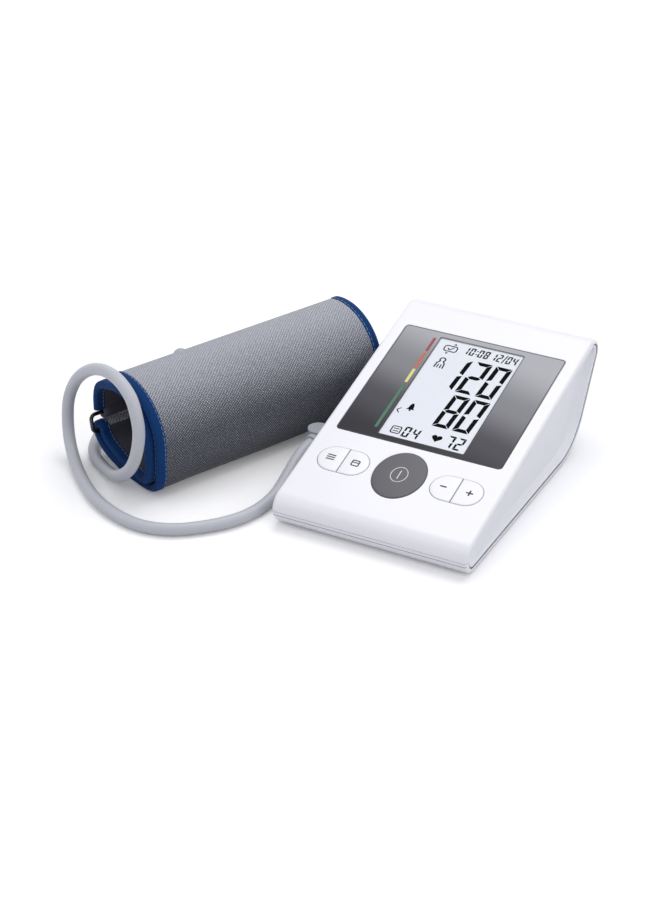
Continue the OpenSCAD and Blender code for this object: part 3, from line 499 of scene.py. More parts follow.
PAIR_X, PAIR_R, PAIR_HALF, KEY_GAP = 29.2, 8.0, 4.9, 0.25
POWER_R, POWER_LONG = 12.65, 15.25
WINDOW_W, WINDOW_H, WINDOW_R, WINDOW_T = 86.2, 80.6, 2.0, 1.4
WINDOW_MID = 19.3 + WINDOW_H / 2
LCD_W, LCD_H, LCD_MID = 45.1, 73.5, 59.5


def window_rect(grow, r):
    return rounded_rect(0, WINDOW_MID, WINDOW_W + grow, WINDOW_H + grow, r)


def lcd_rect(grow, r):
    return rounded_rect(0, LCD_MID, LCD_W + grow, LCD_H + grow, r)


def power_oval(grow):
    return disc(0, 0, POWER_R + grow, 96, POWER_LONG + grow)


def stadium(cx, r):
    return arc(cx + PAIR_HALF, 0, r, -90, 90, 24) + arc(cx - PAIR_HALF, 0, r, 90, 270, 24)


def cover(name, up):
    shell = outer_form(name, WHITE)
    cut(shell, across_unit("inner", -60, 60, WALL, WHITE))
    return cut(shell, half_space(up), "INTERSECT")


top_cover = cover("top_cover", 1)
to_top = TO_UNIT.inverted() @ TO_FACE
for outline_xy, low, high in (
    (window_rect(0.3, WINDOW_R + 0.15), -WINDOW_T - 0.02, 1),
    (lcd_rect(0, 0.5), -4, 1),
    (power_oval(KEY_GAP), -4, 1),
    (stadium(-PAIR_X, PAIR_R + KEY_GAP), -4, 1),
    (stadium(PAIR_X, PAIR_R + KEY_GAP), -4, 1),
):
    cut(top_cover, place(prism("hole", outline_xy, low, high), to_top))
soften(top_cover, 0.28)
place(top_cover, TO_UNIT)
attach(top_cover, "monitor")
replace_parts(top_cover, "front_cover")


def gap_shade_ring(name, low, high, inset_out, inset_in):
    """A thin band of painted shade that follows the side outline between two insets, from x = low to x =
    high.
    """
    ring = across_unit(name, low, high, inset_out, GAP_SHADE_GREY)
    return cut(ring, across_unit("inner", low - 1, high + 1, inset_in, GAP_SHADE_GREY))


def parting_shade_band(name, drop, half, inset_out, inset_in):
    """A band of painted shade round the outer form between two insets, drop under the parting line and 2 *
    half thick.
    """
    band = outer_form(name, GAP_SHADE_GREY, inset_out)
    cut(band, across_unit("inner", -60, 60, inset_in, GAP_SHADE_GREY))
    return cut(band, seam_block(200, -half - drop, half - drop), "INTERSECT")


SIDES = (("left", -1), ("right", 1))
# Painted shade lines stand for the shadow in the gap round each side cheek, in the parting line and in a line
# below it.
for hand, side in SIDES:
    low, high = sorted((side * (UNIT_W / 2 - CHEEK_SUNK - 0.7), side * (UNIT_W / 2 - CHEEK_SUNK + 0.02)))
    line = gap_shade_ring("cheek_groove_shade_" + hand, low, high, WALL + 0.01, WALL + 0.85)
    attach(place(line, TO_UNIT), "monitor")
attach(place(parting_shade_band("parting_groove_shade", 0, SEAM_GAP / 2, 0.2, WALL - 0.5), TO_UNIT), "monitor")
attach(place(parting_shade_band("lip_shade_line", LIP_DROP, 0.14, -0.02, 0.5), TO_UNIT), "monitor")

DOOR_W, DOOR_FRONT, DOOR_BACK = 62.6, 56.7, 111.9
FEET = [(x, y) for x in (-41, 41) for y in (28, 104)]
SCREWS = [(x, 17) for x in (-33, 33)] + [(x, 117) for x in (-30, 30)]

base_cover = cover("base_cover", -1)
door_gap = rounded_rect(0, (DOOR_FRONT + DOOR_BACK) / 2, DOOR_W, DOOR_BACK - DOOR_FRONT, 0.6)
cut(base_cover, prism("door_gap", door_gap, -1, 4))
for x, y in FEET:
    cut(base_cover, prism("foot_seat", disc(x, y, 4.7, 40), -1, 1))
for x, y in SCREWS:
    cut(base_cover, prism("screw_seat", disc(x, y, 2.9, 32), -1, 6))
soften(base_cover, 0.28)
place(base_cover, TO_UNIT)
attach(base_cover, "monitor")
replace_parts(base_cover, "rear_cover")

SOCKET_AT = (0, 66, 12)
SOCKET_HOLE_R = 4.65


def cheek(name, side):
    """A hollow side panel: a rim that follows the outline and a slanted floor, joined by a soft bend."""
    first = WALL + CHEEK_FIT
    slope = (RECESS_BACK - RECESS_FRONT) / UNIT_D
    rim = UNIT_W / 2 - CHEEK_SUNK
    loops = []
    last = first + CHEEK_RIM
    for x_off, inset in ((4.0, first), (0.35, first), (0.1, first + 0.1), (0, first + 0.35), (0, last - 0.45),
                         (0.12, last - 0.12), (0.45, last)):
        loops.append([(side * (rim - x_off), y, z) for y, z in outline(inset)])
    for part, inset in ((0.55, 0.05), (0.8, 0.2), (0.92, 0.55), (0.98, 1.1), (1.0, 1.9)):
        loops.append([(side * (rim - 0.45 - (RECESS_FRONT + slope * y - CHEEK_SUNK - 0.45) * part), y, z)
                      for y, z in outline(last + inset)])
    if side < 0:
        loops = [loop[::-1] for loop in loops]
    obj = loft(name, loops, WHITE_SATIN)
    if side < 0:
        to_socket = moved_by(*SOCKET_AT) @ Matrix.Rotation(math.pi / 2, 4, "Y")
        cut(obj, place(prism("hole", disc(0, 0, SOCKET_HOLE_R, 48), -60, -30), to_socket))
    place(shaded(obj), TO_UNIT)
    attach(obj, "monitor")
    return obj


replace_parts(cheek("right_side_cheek", 1), "right_cheek")
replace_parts(cheek("left_side_cheek", -1), "left_cheek")

# ---------------------------------------------------------------- display


def window_material():
    """Smoked print with a painted reflection that pales towards the top, and a matt face."""
    mat, shader, add, link = new_material("window_smoke")
    at = add("ShaderNodeSeparateXYZ", {"Vector": add("ShaderNodeTexCoord").outputs["Object"]}).outputs
    # Painted reflection: the colour runs from dark over the window's lower part to pale over its upper part.
    start, end = ((UNIT_AT[1] + y) * MM + 0.012 for y in (50, 130))
    along = maths(add, "MULTIPLY_ADD", at["X"], 0.22, at["Y"])
    up = add("ShaderNodeMapRange", {"Value": along, "From Min": start, "From Max": end}).outputs[0]
    grain = add("ShaderNodeTexNoise", {"Scale": 2600, "Detail": 2}).outputs["Fac"]
    stops = [(0.02, rgb("36363A")), (0.3, rgb("505055")), (0.62, rgb("86868B")), (1.0, rgb("B0B0B5"))]
    mixed = maths(add, "MULTIPLY_ADD", grain, 0.05, up)
    link(ramp(add, mixed, stops, "EASE"), shader.inputs["Base Color"])
    set_inputs(shader, {"Roughness": 0.42, "Specular IOR Level": 0.08})
    return mat


def lcd_material():
    """Pale blue-white display ground with a faint grain."""
    mat, shader, add, link = new_material("lcd_ground")
    at = add("ShaderNodeTexCoord").outputs["Object"]
    tones = [(0.3, rgb("D5D9E1")), (0.7, rgb("DDE0E8"))]
    link(ramp(add, noise(add, at, 18, 1), tones), shader.inputs["Base Color"])
    shine = [(0.3, grey(0.25)), (0.7, grey(0.32))]
    link(ramp(add, noise(add, at, 3000), shine), shader.inputs["Roughness"])
    shader.inputs["Coat Weight"].default_value = 0.1
    return mat


WINDOW = window_material()
LCD = lcd_material()
INK = plastic("segment_black", "060607", rough=0.85)
INK.node_tree.nodes["Principled BSDF"].inputs["Specular IOR Level"].default_value = 0.08
BARS = [
    (26.3, 58.6, plastic("bar_green", "1E6444", rough=0.35)),
    (60.1, 70.2, plastic("bar_yellow", "D8D478", rough=0.35)),
    (71.1, 82.8, plastic("bar_orange", "B45520", rough=0.35)),
    (84.1, 94.6, plastic("bar_red", "8A0C1A", rough=0.35)),
]


def on_unit(obj, body="monitor"):
    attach(obj, body)
    return obj


window = prism("window_plate", window_rect(0, WINDOW_R), -WINDOW_T, 0, WINDOW)
cut(window, prism("hole", lcd_rect(-0.4, 0.6), -3, 1))
soften(window, 0.2, segments=2)
place(window, TO_FACE)
on_unit(window)
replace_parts(window, "display_window")


def thin_frame(name, outer, inner):
    """A flat dark frame on the face, between two outlines."""
    band = cut(prism(name, outer, 0.0, 0.02, DARK), prism("hole", inner, -1, 1))
    on_unit(place(band, TO_FACE))


thin_frame("window_border", window_rect(-0.5, WINDOW_R - 0.2), window_rect(-1.2, WINDOW_R - 0.5))
thin_frame("lcd_border", lcd_rect(0.3, 0.9), lcd_rect(-0.45, 0.6))

LCD_TOP = -0.5
lcd = prism("lcd_face", lcd_rect(-0.5, 0.5), LCD_TOP - 1.2, LCD_TOP, LCD)
on_unit(place(lcd, TO_FACE))
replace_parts(lcd, "lcd_panel")


def ink(name, polygons, material, low=LCD_TOP, thick=0.03, body="monitor"):
    """Flat printed or etched shapes on the face, each a closed polygon in face coordinates."""
    verts, faces = [], []
    for poly in polygons:
        n, k = len(poly), len(verts)
        verts += [(x, y, low) for x, y in poly] + [(x, y, low + thick) for x, y in poly]
        faces.append(tuple(range(k + n, k + 2 * n)))
        faces += [(k + i, k + (i + 1) % n, k + n + (i + 1) % n, k + n + i) for i in range(n)]
    obj = mesh_object(name, verts, faces, material, smooth=False)
    return on_unit(place(obj, TO_FACE), body=body)


SEGMENTS = "abcdef bc abged abgcd fgbc afgcd afgedc abc abcdefg abcdfg"
DIGITS = dict(zip("0123456789", SEGMENTS.split()))


def seven_segment(char, x, y, w, h, t, lean=0.07):
    """The lit segments of a digit whose lower left corner is at x, y."""
    m, gap = h / 2, t * 0.12
    over, under = m + t / 2, m - t / 2
    bars = {
        "a": [(0, h), (w, h), (w - t, h - t), (t, h - t)],
        "d": [(0, 0), (t, t), (w - t, t), (w, 0)],
        "g": [(t * 0.3, m), (t, over), (w - t, over), (w - t * 0.3, m), (w - t, under), (t, under)],
        "f": [(0, h), (t, h - t), (t, over), (0, m)],
        "e": [(0, 0), (0, m), (t, under), (t, t)],
        "b": [(w, h), (w, m), (w - t, over), (w - t, h - t)],
        "c": [(w, 0), (w - t, t), (w - t, under), (w, m)],
    }
    out = []
    for key in DIGITS[char]:
        poly = bars[key]
        cx, cy = (sum(p[j] for p in poly) / len(poly) for j in (0, 1))
        kx, ky = (1 - 2 * gap / w, 1) if key in "adg" else (1, 1 - 2 * gap / m)
        poly = [(cx + (px - cx) * kx, cy + (py - cy) * ky) for px, py in poly]
        out.append([(x + px + lean * py, y + py) for px, py in poly])
    return out


def number(text, x, y, w, h, t, pitch=0):
    return [bar for i, char in enumerate(text) for bar in seven_segment(char, x + i * pitch, y, w, h, t)]


def thick_line(points, t, closed=False):
    """A stroked polyline as a chain of four-sided pieces."""
    out = []
    for (x0, y0), (x1, y1) in zip(points, points[1:] + (points[:1] if closed else [])):
        length = math.hypot(x1 - x0, y1 - y0) or 1
        nx, ny = -(y1 - y0) / length * t / 2, (x1 - x0) / length * t / 2
        ex, ey = (x1 - x0) / length * t * 0.3, (y1 - y0) / length * t * 0.3
        out.append([(x0 - nx - ex, y0 - ny - ey), (x1 - nx + ex, y1 - ny + ey),
                    (x1 + nx + ex, y1 + ny + ey), (x0 + nx - ex, y0 + ny - ey)])
    return out


def strokes(*lines):
    """Several stroked polylines, each as thick_line takes it."""
    return [piece for line in lines for piece in thick_line(*line)]


def heart(x, y, size, steps=36):
    turns = [2 * math.pi * k / steps for k in range(steps)]
    return [(x + size * 16 * math.sin(t) ** 3,
             y + size * (13 * math.cos(t) - 5 * math.cos(2 * t) - 2 * math.cos(3 * t) - math.cos(4 * t)))
            for t in turns]


LARGE = (8.6, 23.4, 2.3, 10.5)
ink("reading_digits", number("120", -10.4, 62.1, *LARGE) + number("80", -0.5, 36.5, *LARGE), INK)
clock = []
for char, x in zip("10081204", (-7.9, -4.7, -0.2, 3.0, 6.8, 9.9, 14.8, 17.9)):
    clock += number(char, x, 88.6, 2.4, 5.5, 0.78)
clock += [rounded_rect(-0.95, 88.6 + k, 0.75, 0.75, 0.2, 3) for k in (1.7, 4.0)]
clock += thick_line([(13.3, 88.4), (14.4, 94.2)], 0.6)
pulse = number("72", 10.2, 24.6, 3.9, 8.5, 1.1, 5.2)
record = number("04", -11.6, 24.8, 3.4, 7.2, 1.0, 4.7)
ink("small_digits", clock + pulse + record, INK)
bell = [(-17, 43.2), (-12.8, 43.2), (-13.6, 44.2), (-13.8, 46.2), (-14.4, 47.4), (-14.9, 47.8), (-15.4, 47.4),
        (-16, 46.2), (-16.2, 44.2)]
arrows = [[(-14.2, 93.2), (-12.4, 93.2), (-13.3, 94.3)], [(-16.4, 87.0), (-14.6, 87.0), (-15.5, 85.9)]]
ink("icons_solid", [heart(5.7, 29.2, 0.165), bell, disc(-14.9, 42.7, 0.55, 12)] + arrows, INK)
user = strokes(
    (arc(-14.9, 81.4, 1.4, -50, 230, 14), 0.7),
    ([(-17.1, 75.4), (-16.9, 78.6), (-15.8, 80.1)], 0.7),
    ([(-12.7, 75.4), (-12.9, 78.6), (-14.0, 80.1)], 0.7),
    ([(-15.7, 75.4), (-15.6, 77.8)], 0.6), ([(-14.1, 75.4), (-14.2, 77.8)], 0.6),
)
box_icon = strokes((rounded_rect(-14.6, 90.1, 6.6, 4.0, 1.2, 4), 0.6, True),
                   ([(-16.0, 90.2), (-15.0, 89.1), (-13.1, 91.2)], 0.6))
memory_icon = strokes((rounded_rect(-15.2, 28.2, 4.6, 4.6, 0.9, 4), 0.6, True),
                      ([(-16.5, 29.0), (-13.9, 29.0)], 0.55), ([(-16.5, 27.4), (-13.9, 27.4)], 0.55))
pointer = thick_line([(-19.4, 43.0), (-20.9, 41.3), (-19.4, 39.6)], 0.55)
ink("icons_line", user + box_icon + memory_icon + pointer, INK)
for k, (low, high, material) in enumerate(BARS):
    bar = rounded_rect(-25.1, (low + high) / 2, 1.5, high - low, 0.2, 3)
    ink("range_bar_%d" % k, [bar], material, low=0.0, thick=0.025)

# ---------------------------------------------------------------- keys

KEY_TOP = 0.35


def key_cap(key, shape, material, crown=0.15, r=0.45):
    """A key with a rim rounded to r and a slightly domed top. shape(inset) gives its outline."""
    loops = [[(x, y, -3.2) for x, y in shape(0)]]
    for a in (math.radians(90 * k / 5) for k in range(6)):
        loops.append([(x, y, KEY_TOP - r + r * math.sin(a)) for x, y in shape(r * (1 - math.cos(a)))])
    for inset, rise in ((1.6, 0.45), (3.4, 0.8), (5.2, 1.0)):
        loops.append([(x, y, KEY_TOP + crown * rise) for x, y in shape(inset)])
    obj = loft(key + "_key_cap", loops, material)
    sharp_by_angle(obj, 50)
    on_unit(place(obj, TO_FACE), key + "_key")
    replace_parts(obj, key + "_button")


def half_key(side, end):
    """The outline of one key of a pair, by inset."""
    def shape(inset):
        r = max(PAIR_R - inset, 0.6)
        edge = 0.2 + min(inset, 1.2) + max(0, inset - 1.2) * 0.8
        centre = max(PAIR_HALF, edge)
        points = [(edge, -r)] + [(centre + x, y) for x, y in arc(0, 0, r, -90, 90, 24)] + [(edge, r)]
        points = [(side * PAIR_X + end * x, y) for x, y in points]
        return points if end > 0 else points[::-1]
    return shape


key_cap("power", lambda inset: power_oval(-1.6 * inset), KEY_GREY, 0.25)
for key, side, end in (("set", -1, -1), ("memory", -1, 1), ("minus", 1, -1), ("plus", 1, 1)):
    key_cap(key, half_key(side, end), KEY_WHITE)


def mark(key, polygons, material=DARK, rise=0.22):
    """The printed sign of a key, sunk into its crown."""
    ink(key + "_mark", polygons, material, low=KEY_TOP + rise - 0.15, thick=0.18, body=key + "_key")


power_sign = strokes((disc(0, 0, 4.0, 48, 4.8), 0.36, True), ([(0, -2.6), (0, 2.6)], 0.42))
store_sign = strokes((rounded_rect(-22.8, 0, 3.6, 3.4, 0.6, 4), 0.55, True),
                     ([(-24.4, 0.3), (-21.2, 0.3)], 0.5))
mark("power", power_sign, MARK_LIGHT, 0.32)
mark("minus", thick_line([(21.2, 0), (24.0, 0)], 0.75))
mark("plus", strokes(([(34.3, 0), (37.3, 0)], 0.75), ([(35.8, -1.5), (35.8, 1.5)], 0.75)))
mark("set", strokes(*(([(-37.6, y), (-33.8, y)], 0.6) for y in (-1.4, 0, 1.4))))
mark("memory", store_sign)


def key_line(name, outer, inner, split=None):
    """Painted shade: a grey band at the bottom of the gap round a key, or round a pair of keys that part at x
    = split.
    """
    low, high = -0.4, -0.06
    line = cut(prism(name, outer, low, high, GAP_SHADE_GREY), prism("hole", inner, -1, 1))
    if split:
        cut(line, prism("bar", rectangle(split, 0.17, PAIR_R + 0.1), low, high), "UNION")
    on_unit(place(line, TO_FACE))


LINE_OUT, LINE_IN = KEY_GAP - 0.02, 0.03
key_line("power_key_shade_line", power_oval(LINE_OUT), power_oval(LINE_IN))
for hand, side in SIDES:
    x = side * PAIR_X
    key_line("pair_shade_line_" + hand, stadium(x, PAIR_R + LINE_OUT), stadium(x, PAIR_R + LINE_IN), x)

# ---------------------------------------------------------------- cuff: the rolled strip, seen along its axis

CUFF_AT = (-57.0, -77.5)
CUFF_TURN = math.radians(66)
CUFF_LEN = 138.0
ROLL_A, ROLL_B = 28.5, 27.5
ROLL_C = (-21.5, 27.52)
CORNER_POWER = 5
CLOTH_T, PROUD, LAYER_GAP, BINDING_W = 3.2, 0.3, 0.3, 5.0
OUTER_DEPTH = PROUD + CLOTH_T / 2
INNER_DEPTH = OUTER_DEPTH + CLOTH_T + 2 * PROUD + LAYER_GAP
FOLD_BAR = (ROLL_C[0] - 25, ROLL_C[1] - 12.7)
HEM_BAR = (ROLL_C[0] - 26.7, ROLL_C[1] - 3.7)
RING_R = 1.5
FOLD_R = RING_R + 0.15 + CLOTH_T / 2 + PROUD


def smooth(t):
    t = min(1.0, max(0.0, t))
    return t * t * (3 - 2 * t)


def roll_point(a, depth):
    """A point of the roll's section; its lower right corner is squarer than an oval."""
    power = 2 / CORNER_POWER if -90 < a < 0 else 1
    c, s = math.cos(math.radians(a)), math.sin(math.radians(a))
    return (ROLL_C[0] + (ROLL_A - depth) * math.copysign(abs(c) ** power, c),
            ROLL_C[1] + (ROLL_B - depth) * math.copysign(abs(s) ** power, s))


def inner_depth(a):
    return INNER_DEPTH - (INNER_DEPTH - OUTER_DEPTH) * smooth((a - 112) / 43) - 2.6 * smooth((-115 - a) / 33)


def outer_depth(a):
    return OUTER_DEPTH - 4.9 * smooth((-105 - a) / 47)


def sample(f, start, stop, step):
    n = max(1, round(abs(stop - start) / step))
    return [f(start + (stop - start) * k / n) for k in range(n + 1)]


inner_run = sample(lambda a: roll_point(a, inner_depth(a)), 183, -141, 3)
fold_run = arc(*FOLD_BAR, FOLD_R, 2, 198, 14)
outer_run = sample(lambda a: roll_point(a, outer_depth(a)), -148.7, 107, 3)
PATH = inner_run + fold_run + outer_run


def lengths(path):
    """How far along the path each of its points lies."""
    out = [0.0]
    for p, q in zip(path, path[1:]):
        out.append(out[-1] + math.hypot(q[0] - p[0], q[1] - p[1]))
    return out


ALONG = lengths(PATH)


def normal(i):
    p, q = PATH[max(i - 1, 0)], PATH[min(i + 1, len(PATH) - 1)]
    dx, dy = q[0] - p[0], q[1] - p[1]
    n = math.hypot(dx, dy)
    return (dy / n, -dx / n)


def ease(i):
    """How far the layer stands out of the roll at its near end: the inner layers slip towards the user."""
    s = ALONG[i] / ALONG[-1]
    return -3.2 * smooth(s / 0.15) * smooth((0.42 - s) / 0.1)


def ripple(i, t):
    """Small unevenness of padded cloth, the same for both faces."""
    s = ALONG[i]
    ends = smooth((t - 4) / 22) * smooth((CUFF_LEN - 4 - t) / 22)
    keep = smooth(s / 14) * smooth((ALONG[-1] - s) / 14)
    broad = 0.16 * math.sin(s * 0.11 + 1.3) * math.sin(t * 0.07 + 0.5)
    return ends * keep * (broad + 0.12 * math.sin(s * 0.23 + t * 0.045))


def cuff_point(i, off, t):
    """Point i of the strip, off from its middle, t along the cuff from its near end."""
    n = normal(i)
    off = off + ripple(i, t)
    return cuff_place(PATH[i][0] + n[0] * off, PATH[i][1] + n[1] * off, t + ease(i))


def cuff_place(u, z, t):
    """The place in the scene of u, z on the roll's section and t along the cuff."""
    c, s = math.cos(CUFF_TURN), math.sin(CUFF_TURN)
    return (CUFF_AT[0] + t * c + u * s, CUFF_AT[1] + t * s - u * c, z)


def strip(name, low, high, t0, t1, materials, lined, steps=46):
    """The rolled strip as a closed solid between offsets low and high, from t0 to t1 along the cuff.

    The second material is on its high face as far as point lined, and the first is on the rest.
    """
    verts, faces, slots, uvs = [], [], [], []
    last = len(PATH) - 1
    ts = [t0 + (t1 - t0) * k / steps for k in range(steps + 1)]
    index = {}

    def vertex(i, level, k):
        key = (i, level, k)
        if key not in index:
            index[key] = len(verts)
            verts.append(cuff_point(i, high if level else low, ts[k]))
        return index[key]

    def quad(points, uv, slot=0):
        faces.append(tuple(vertex(*p) for p in points))
        uvs.append([(u / 10, v / 10) for u, v in uv])
        slots.append(slot)

    for i in range(last):
        s0, s1 = ALONG[i], ALONG[i + 1]
        for k in range(steps):
            uv = [(s0, ts[k]), (s1, ts[k]), (s1, ts[k + 1]), (s0, ts[k + 1])]
            quad([(i, 0, k), (i + 1, 0, k), (i + 1, 0, k + 1), (i, 0, k + 1)], uv)
            quad([(i, 1, k + 1), (i + 1, 1, k + 1), (i + 1, 1, k), (i, 1, k)], uv[::-1], int(i < lined))
        for k in (0, steps):
            q = [(i, 0, k), (i, 1, k), (i + 1, 1, k), (i + 1, 0, k)]
            quad(q if k == 0 else q[::-1], [(s0, 0), (s0, 3), (s1, 3), (s1, 0)])
    for i in (0, last):
        for k in range(steps):
            q = [(i, 0, k), (i, 0, k + 1), (i, 1, k + 1), (i, 1, k)]
            quad(q if i == 0 else q[::-1], [(0, ts[k]), (0, ts[k + 1]), (3, ts[k + 1]), (3, ts[k])])
    obj = mesh_object(name, verts, faces, materials, slots=slots, uvs=uvs)
    sharp_by_angle(obj, 60)
    return obj


def on_cuff(obj):
    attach(obj, "arm_cuff")
    return obj


HALF = CLOTH_T / 2
HIDDEN = 0.6
CLOTH_FROM, CLOTH_TO = BINDING_W - HIDDEN, CUFF_LEN - BINDING_W + HIDDEN
sleeve = strip("cuff_cloth", -HALF, HALF, CLOTH_FROM, CLOTH_TO, [KNIT, LINING], len(inner_run) + 3)
on_cuff(sleeve)
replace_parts(sleeve, "cuff_cover", "cuff_lining", "air_bladder", "hook_patch")


def binding(name, near):
    """Tape folded over one end of the strip, with a soft rounded edge and pressed-in long sides."""
    half = HALF + PROUD
    nose = 1.6
    flank = [(nose, half), (4.0, half + 0.05), (BINDING_W - 0.25, half), (BINDING_W, half - 0.12),
             (BINDING_W, HALF - 0.1)]
    turns = [math.radians(-90 + 180 * k / 8) for k in range(1, 8)]
    profile = [(t, -off) for t, off in reversed(flank)]
    profile += [(nose - nose * math.cos(a), half * math.sin(a)) for a in turns] + flank
    verts, faces, uvs = [], [], []
    m = len(profile)
    run = lengths(profile)
    for i in range(len(PATH)):
        for t, off in profile:
            verts.append(cuff_point(i, off, t if near else CUFF_LEN - t))
    for i in range(len(PATH) - 1):
        for k in range(m):
            a, b = i * m + k, i * m + (k + 1) % m
            face = (a, a + m, b + m, b)
            v0, v1 = run[k], run[k + 1] if k + 1 < m else run[k] + 2 * HALF
            uv = [(v0, ALONG[i]), (v0, ALONG[i + 1]), (v1, ALONG[i + 1]), (v1, ALONG[i])]
            if not near:
                face, uv = face[::-1], uv[::-1]
            faces.append(face)
            uvs.append([(u / 10, v / 10) for u, v in uv])
    first, last = tuple(range(m)), tuple(range((len(PATH) - 1) * m, len(PATH) * m))
    faces += [first if near else first[::-1], last[::-1] if near else last]
    uvs += [[(0, 0)] * m] * 2
    obj = mesh_object(name, verts, faces, NAVY, uvs=uvs)
    sharp_by_angle(obj, 70)
    on_cuff(obj)
    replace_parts(obj, "cuff_binding_near" if near else "cuff_binding_far")


binding("near_binding", True)
binding("far_binding", False)


def stitches(name, rows, length=2.3, gap=0.3, r=0.14, sides=6):
    """Rows of short thread stitches that follow the strip. Each row is (offset, t)."""
    verts, faces, uvs = [], [], []
    axis = Vector((math.cos(CUFF_TURN), math.sin(CUFF_TURN), 0))
    for off, t in rows:
        at, end = 1.0, ALONG[-1] - 1.0
        while at + length < end:
            line = []
            for k in range(4):
                s = at + length * k / 3
                i = max(j for j in range(len(ALONG)) if ALONG[j] <= s)
                out = off - (0.0 if k in (1, 2) else math.copysign(0.16, off))
                p, q = Vector(cuff_point(i, out, t)), Vector(cuff_point(i + 1, out, t))
                line.append(p.lerp(q, (s - ALONG[i]) / (ALONG[i + 1] - ALONG[i])))
            across = (line[-1] - line[0]).normalized().cross(axis).normalized()
            base = len(verts)
            for c in line:
                for a in (2 * math.pi * j / sides for j in range(sides)):
                    verts.append(tuple(c + axis * (r * math.cos(a)) + across * (r * math.sin(a))))
            for k in range(3):
                for j in range(sides):
                    a, b = base + k * sides + j, base + k * sides + (j + 1) % sides
                    faces.append((a, b, b + sides, a + sides))
                    v = j * 0.02
                    uvs.append([(at, v), (at, v + 0.02), (at + 0.06, v + 0.02), (at + 0.06, v)])
            faces.append(tuple(base + j for j in reversed(range(sides))))
            faces.append(tuple(base + 3 * sides + j for j in range(sides)))
            uvs += [[(0, 0)] * sides] * 2
            at += length + gap
    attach(mesh_object(name, verts, faces, THREAD, uvs=uvs), "arm_cuff")


EDGE = HALF + PROUD + 0.05
SEWN = BINDING_W - 0.8
stitches("binding_stitches", [(side * EDGE, t) for side in (-1, 1) for t in (SEWN, CUFF_LEN - SEWN)])

# ---------------------------------------------------------------- cuff: hem tube and ring


def hem_tube(around=40, along=40):
    """The sewn loop at the strip's inner end, round the second bar of the ring."""
    verts, faces, uvs = [], [], []
    for k in range(along + 1):
        t = CLOTH_FROM + (CLOTH_TO - CLOTH_FROM) * k / along
        for r in (RING_R + 1.88, RING_R + 0.2):
            for a in (2 * math.pi * j / around for j in range(around)):
                u, z = HEM_BAR[0] + r * math.cos(a), HEM_BAR[1] + r * math.sin(a)
                verts.append(cuff_place(u, z, t + ease(0)))
    for k in range(along):
        v0, v1 = k * 0.31, k * 0.31 + 0.31
        for ring in (0, 1):
            for j in range(around):
                a, b = ((2 * k + ring) * around + c for c in (j, (j + 1) % around))
                face = (a, a + 2 * around, b + 2 * around, b)
                u0, u1 = 0.054 * j, 0.054 * (j + 1)
                uv = [(u0, v0), (u0, v1), (u1, v1), (u1, v0)]
                faces.append(face if ring == 0 else face[::-1])
                uvs.append(uv if ring == 0 else uv[::-1])
    for k in (0, along):
        for j in range(around):
            a, b = 2 * k * around + j, 2 * k * around + (j + 1) % around
            face = (a, b, b + around, a + around)
            faces.append(face if k == 0 else face[::-1])
            uvs.append([(0, 0), (0.05, 0), (0.05, 0.17), (0, 0.17)])
    on_cuff(mesh_object("hem_loop", verts, faces, LINING, uvs=uvs))


hem_tube()


def wire_ring(radius=1.0, bend=2.5, near=-2.3, far=CUFF_LEN + 2.5, turns=8):
    """The metal ring: two long bars beside the fold, joined by rounded bends past the cuff's ends."""
    gap = math.dist(FOLD_BAR, HEM_BAR)
    corners = [(far - bend, bend, -90), (far - bend, gap - bend, 0),
               (near + bend, gap - bend, 90), (near + bend, bend, 180)]
    middle = (near + far) / 2
    flat = [(middle, 0)]
    for t, across, start in corners:
        flat += arc(t, across, bend, start, start + 90, turns)
    flat.append((middle, 0))
    line = []
    for t, across in flat:
        share = across / gap
        u, z = (a + (b - a) * share for a, b in zip(FOLD_BAR, HEM_BAR))
        line.append(Vector(cuff_place(u, z, t)))
    obj = tube("wire_ring", line, radius)
    obj.data.materials.append(WIRE)
    on_cuff(obj)
    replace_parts(obj, "cuff_ring")


wire_ring()

# ---------------------------------------------------------------- CAD nodes that keep their shape


def dress(node, material):
    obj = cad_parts[node]
    obj.data.materials.clear()
    obj.data.materials.append(material)


for material, slot, nodes in (
    (PALE_PART, "moulding_grey", "lcd_holder release_valve air_socket"),
    (PLUG, "moulding_grey", "hose_port hose_plug"),
    (RUBBER, "dark_rubber", "zebra_strip pump_sleeve rubber_feet"),
    (SILICONE, "silicone", "key_mat pump_diaphragm"),
    (SILICONE, "tube_clear", "inner_tubes"),
    (BOARD, "board_green", "main_board"),
    (DARK, "part_black", "board_parts buzzer pressure_sensor pump_head"),
    (STEEL, "motor_steel", "pump_motor pump_shaft valve_plunger battery_contacts"),
    (STEEL, "motor_steel", "housing_screws board_screws"),
    (WHITE, "white_gloss", "battery_cover"),
    (CELL, "cell_can", "batteries"),
):
    for node in nodes.split():
        dress(node, material)
hose.data.materials.append(HOSE)

# ---------------------------------------------------------------- floor and lights


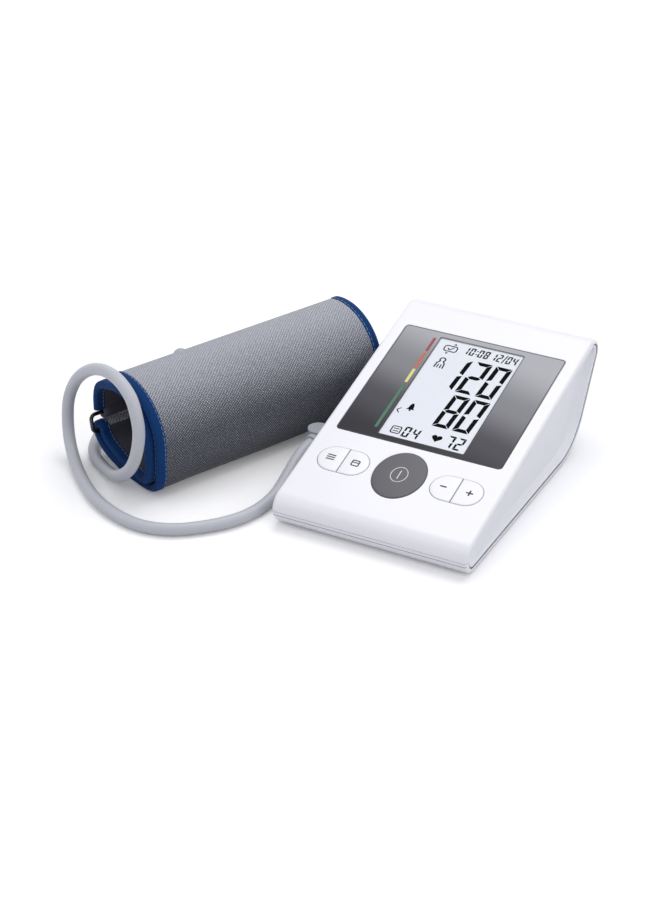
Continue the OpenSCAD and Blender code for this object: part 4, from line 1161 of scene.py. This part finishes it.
def floor_material():
    """White paper to the camera and in mirrors, and a greyer one for the light that it throws."""
    mat, shader, add, link = new_material("floor_paper")
    at = add("ShaderNodeTexCoord").outputs["Object"]
    paper = ramp(add, noise(add, at, 2.0, 1), [(0.3, rgb("FDFDFE")), (0.7, rgb("FFFFFF"))])
    rays = add("ShaderNodeLightPath").outputs
    mirrored = maths(add, "MAXIMUM", rays["Is Camera Ray"], rays["Is Glossy Ray"])
    seen = maths(add, "MAXIMUM", mirrored, rays["Is Transmission Ray"])
    tone = add("ShaderNodeMix", {0: seen}, data_type="RGBA")
    tone.inputs[6].default_value = rgb("D2D3D8")
    link(paper, tone.inputs[7])
    link(tone.outputs[2], shader.inputs["Base Color"])
    away = add("ShaderNodeVectorMath", {0: at}, operation="LENGTH").outputs["Value"]
    lift = add("ShaderNodeMapRange", {"Value": away, "From Min": 0.4, "From Max": 1.8, "To Min": 0.09,
                                      "To Max": 0.6})
    link(maths(add, "MULTIPLY", seen, lift.outputs[0]), shader.inputs["Emission Strength"])
    set_inputs(shader, {"Emission Color": rgb("FFFFFF"), "Roughness": 0.55, "Specular IOR Level": 0.3})
    return mat


floor_mesh = bpy.data.meshes.new("floor")
far = 6.0
bend = [(-far, 0.0), (1.2, 0.0), (1.5, 0.04), (1.7, 0.16), (1.8, 0.36), (1.8, 4.0)]
floor_verts = [(x, y, z) for y, z in bend for x in (-far, far)]
floor_faces = [(2 * k, 2 * k + 1, 2 * k + 3, 2 * k + 2) for k in range(len(bend) - 1)]
floor_mesh.from_pydata(floor_verts, [], floor_faces)
floor_mesh.materials.append(floor_material())
floor = new_object("floor", floor_mesh)


def area_light(name, at, target, size, power):
    data = bpy.data.lights.new(name, "AREA")
    data.shape = "RECTANGLE"
    data.size, data.size_y = size
    data.energy = power
    lamp = new_object(name, data)
    lamp.location = at
    lamp.rotation_euler = (Vector(target) - Vector(at)).to_track_quat("-Z", "Y").to_euler()


area_light("overhead", (0.0, 0.5, 1.5), (0, 0, 0), (1.3, 1.0), 10.3)
area_light("left_front", (-1.1, -0.8, 0.9), (0, 0, 0.03), (0.8, 0.8), 2.6)
area_light("right_front", (1.2, -0.5, 0.8), (0.05, 0, 0.03), (0.6, 0.8), 3)

world = bpy.data.worlds.new("studio")
bpy.context.scene.world = world
world.use_nodes = True
tree = world.node_tree
background = tree.nodes["Background"]
background.inputs["Color"].default_value = rgb("F6F6FA")
strength = tree.nodes.new("ShaderNodeMapRange")
strength.inputs["To Min"].default_value = 0.7
strength.inputs["To Max"].default_value = 1.0
tree.links.new(tree.nodes.new("ShaderNodeLightPath").outputs["Is Camera Ray"], strength.inputs["Value"])
tree.links.new(strength.outputs[0], background.inputs["Strength"])
bpy.context.scene.view_settings.view_transform = "Standard"
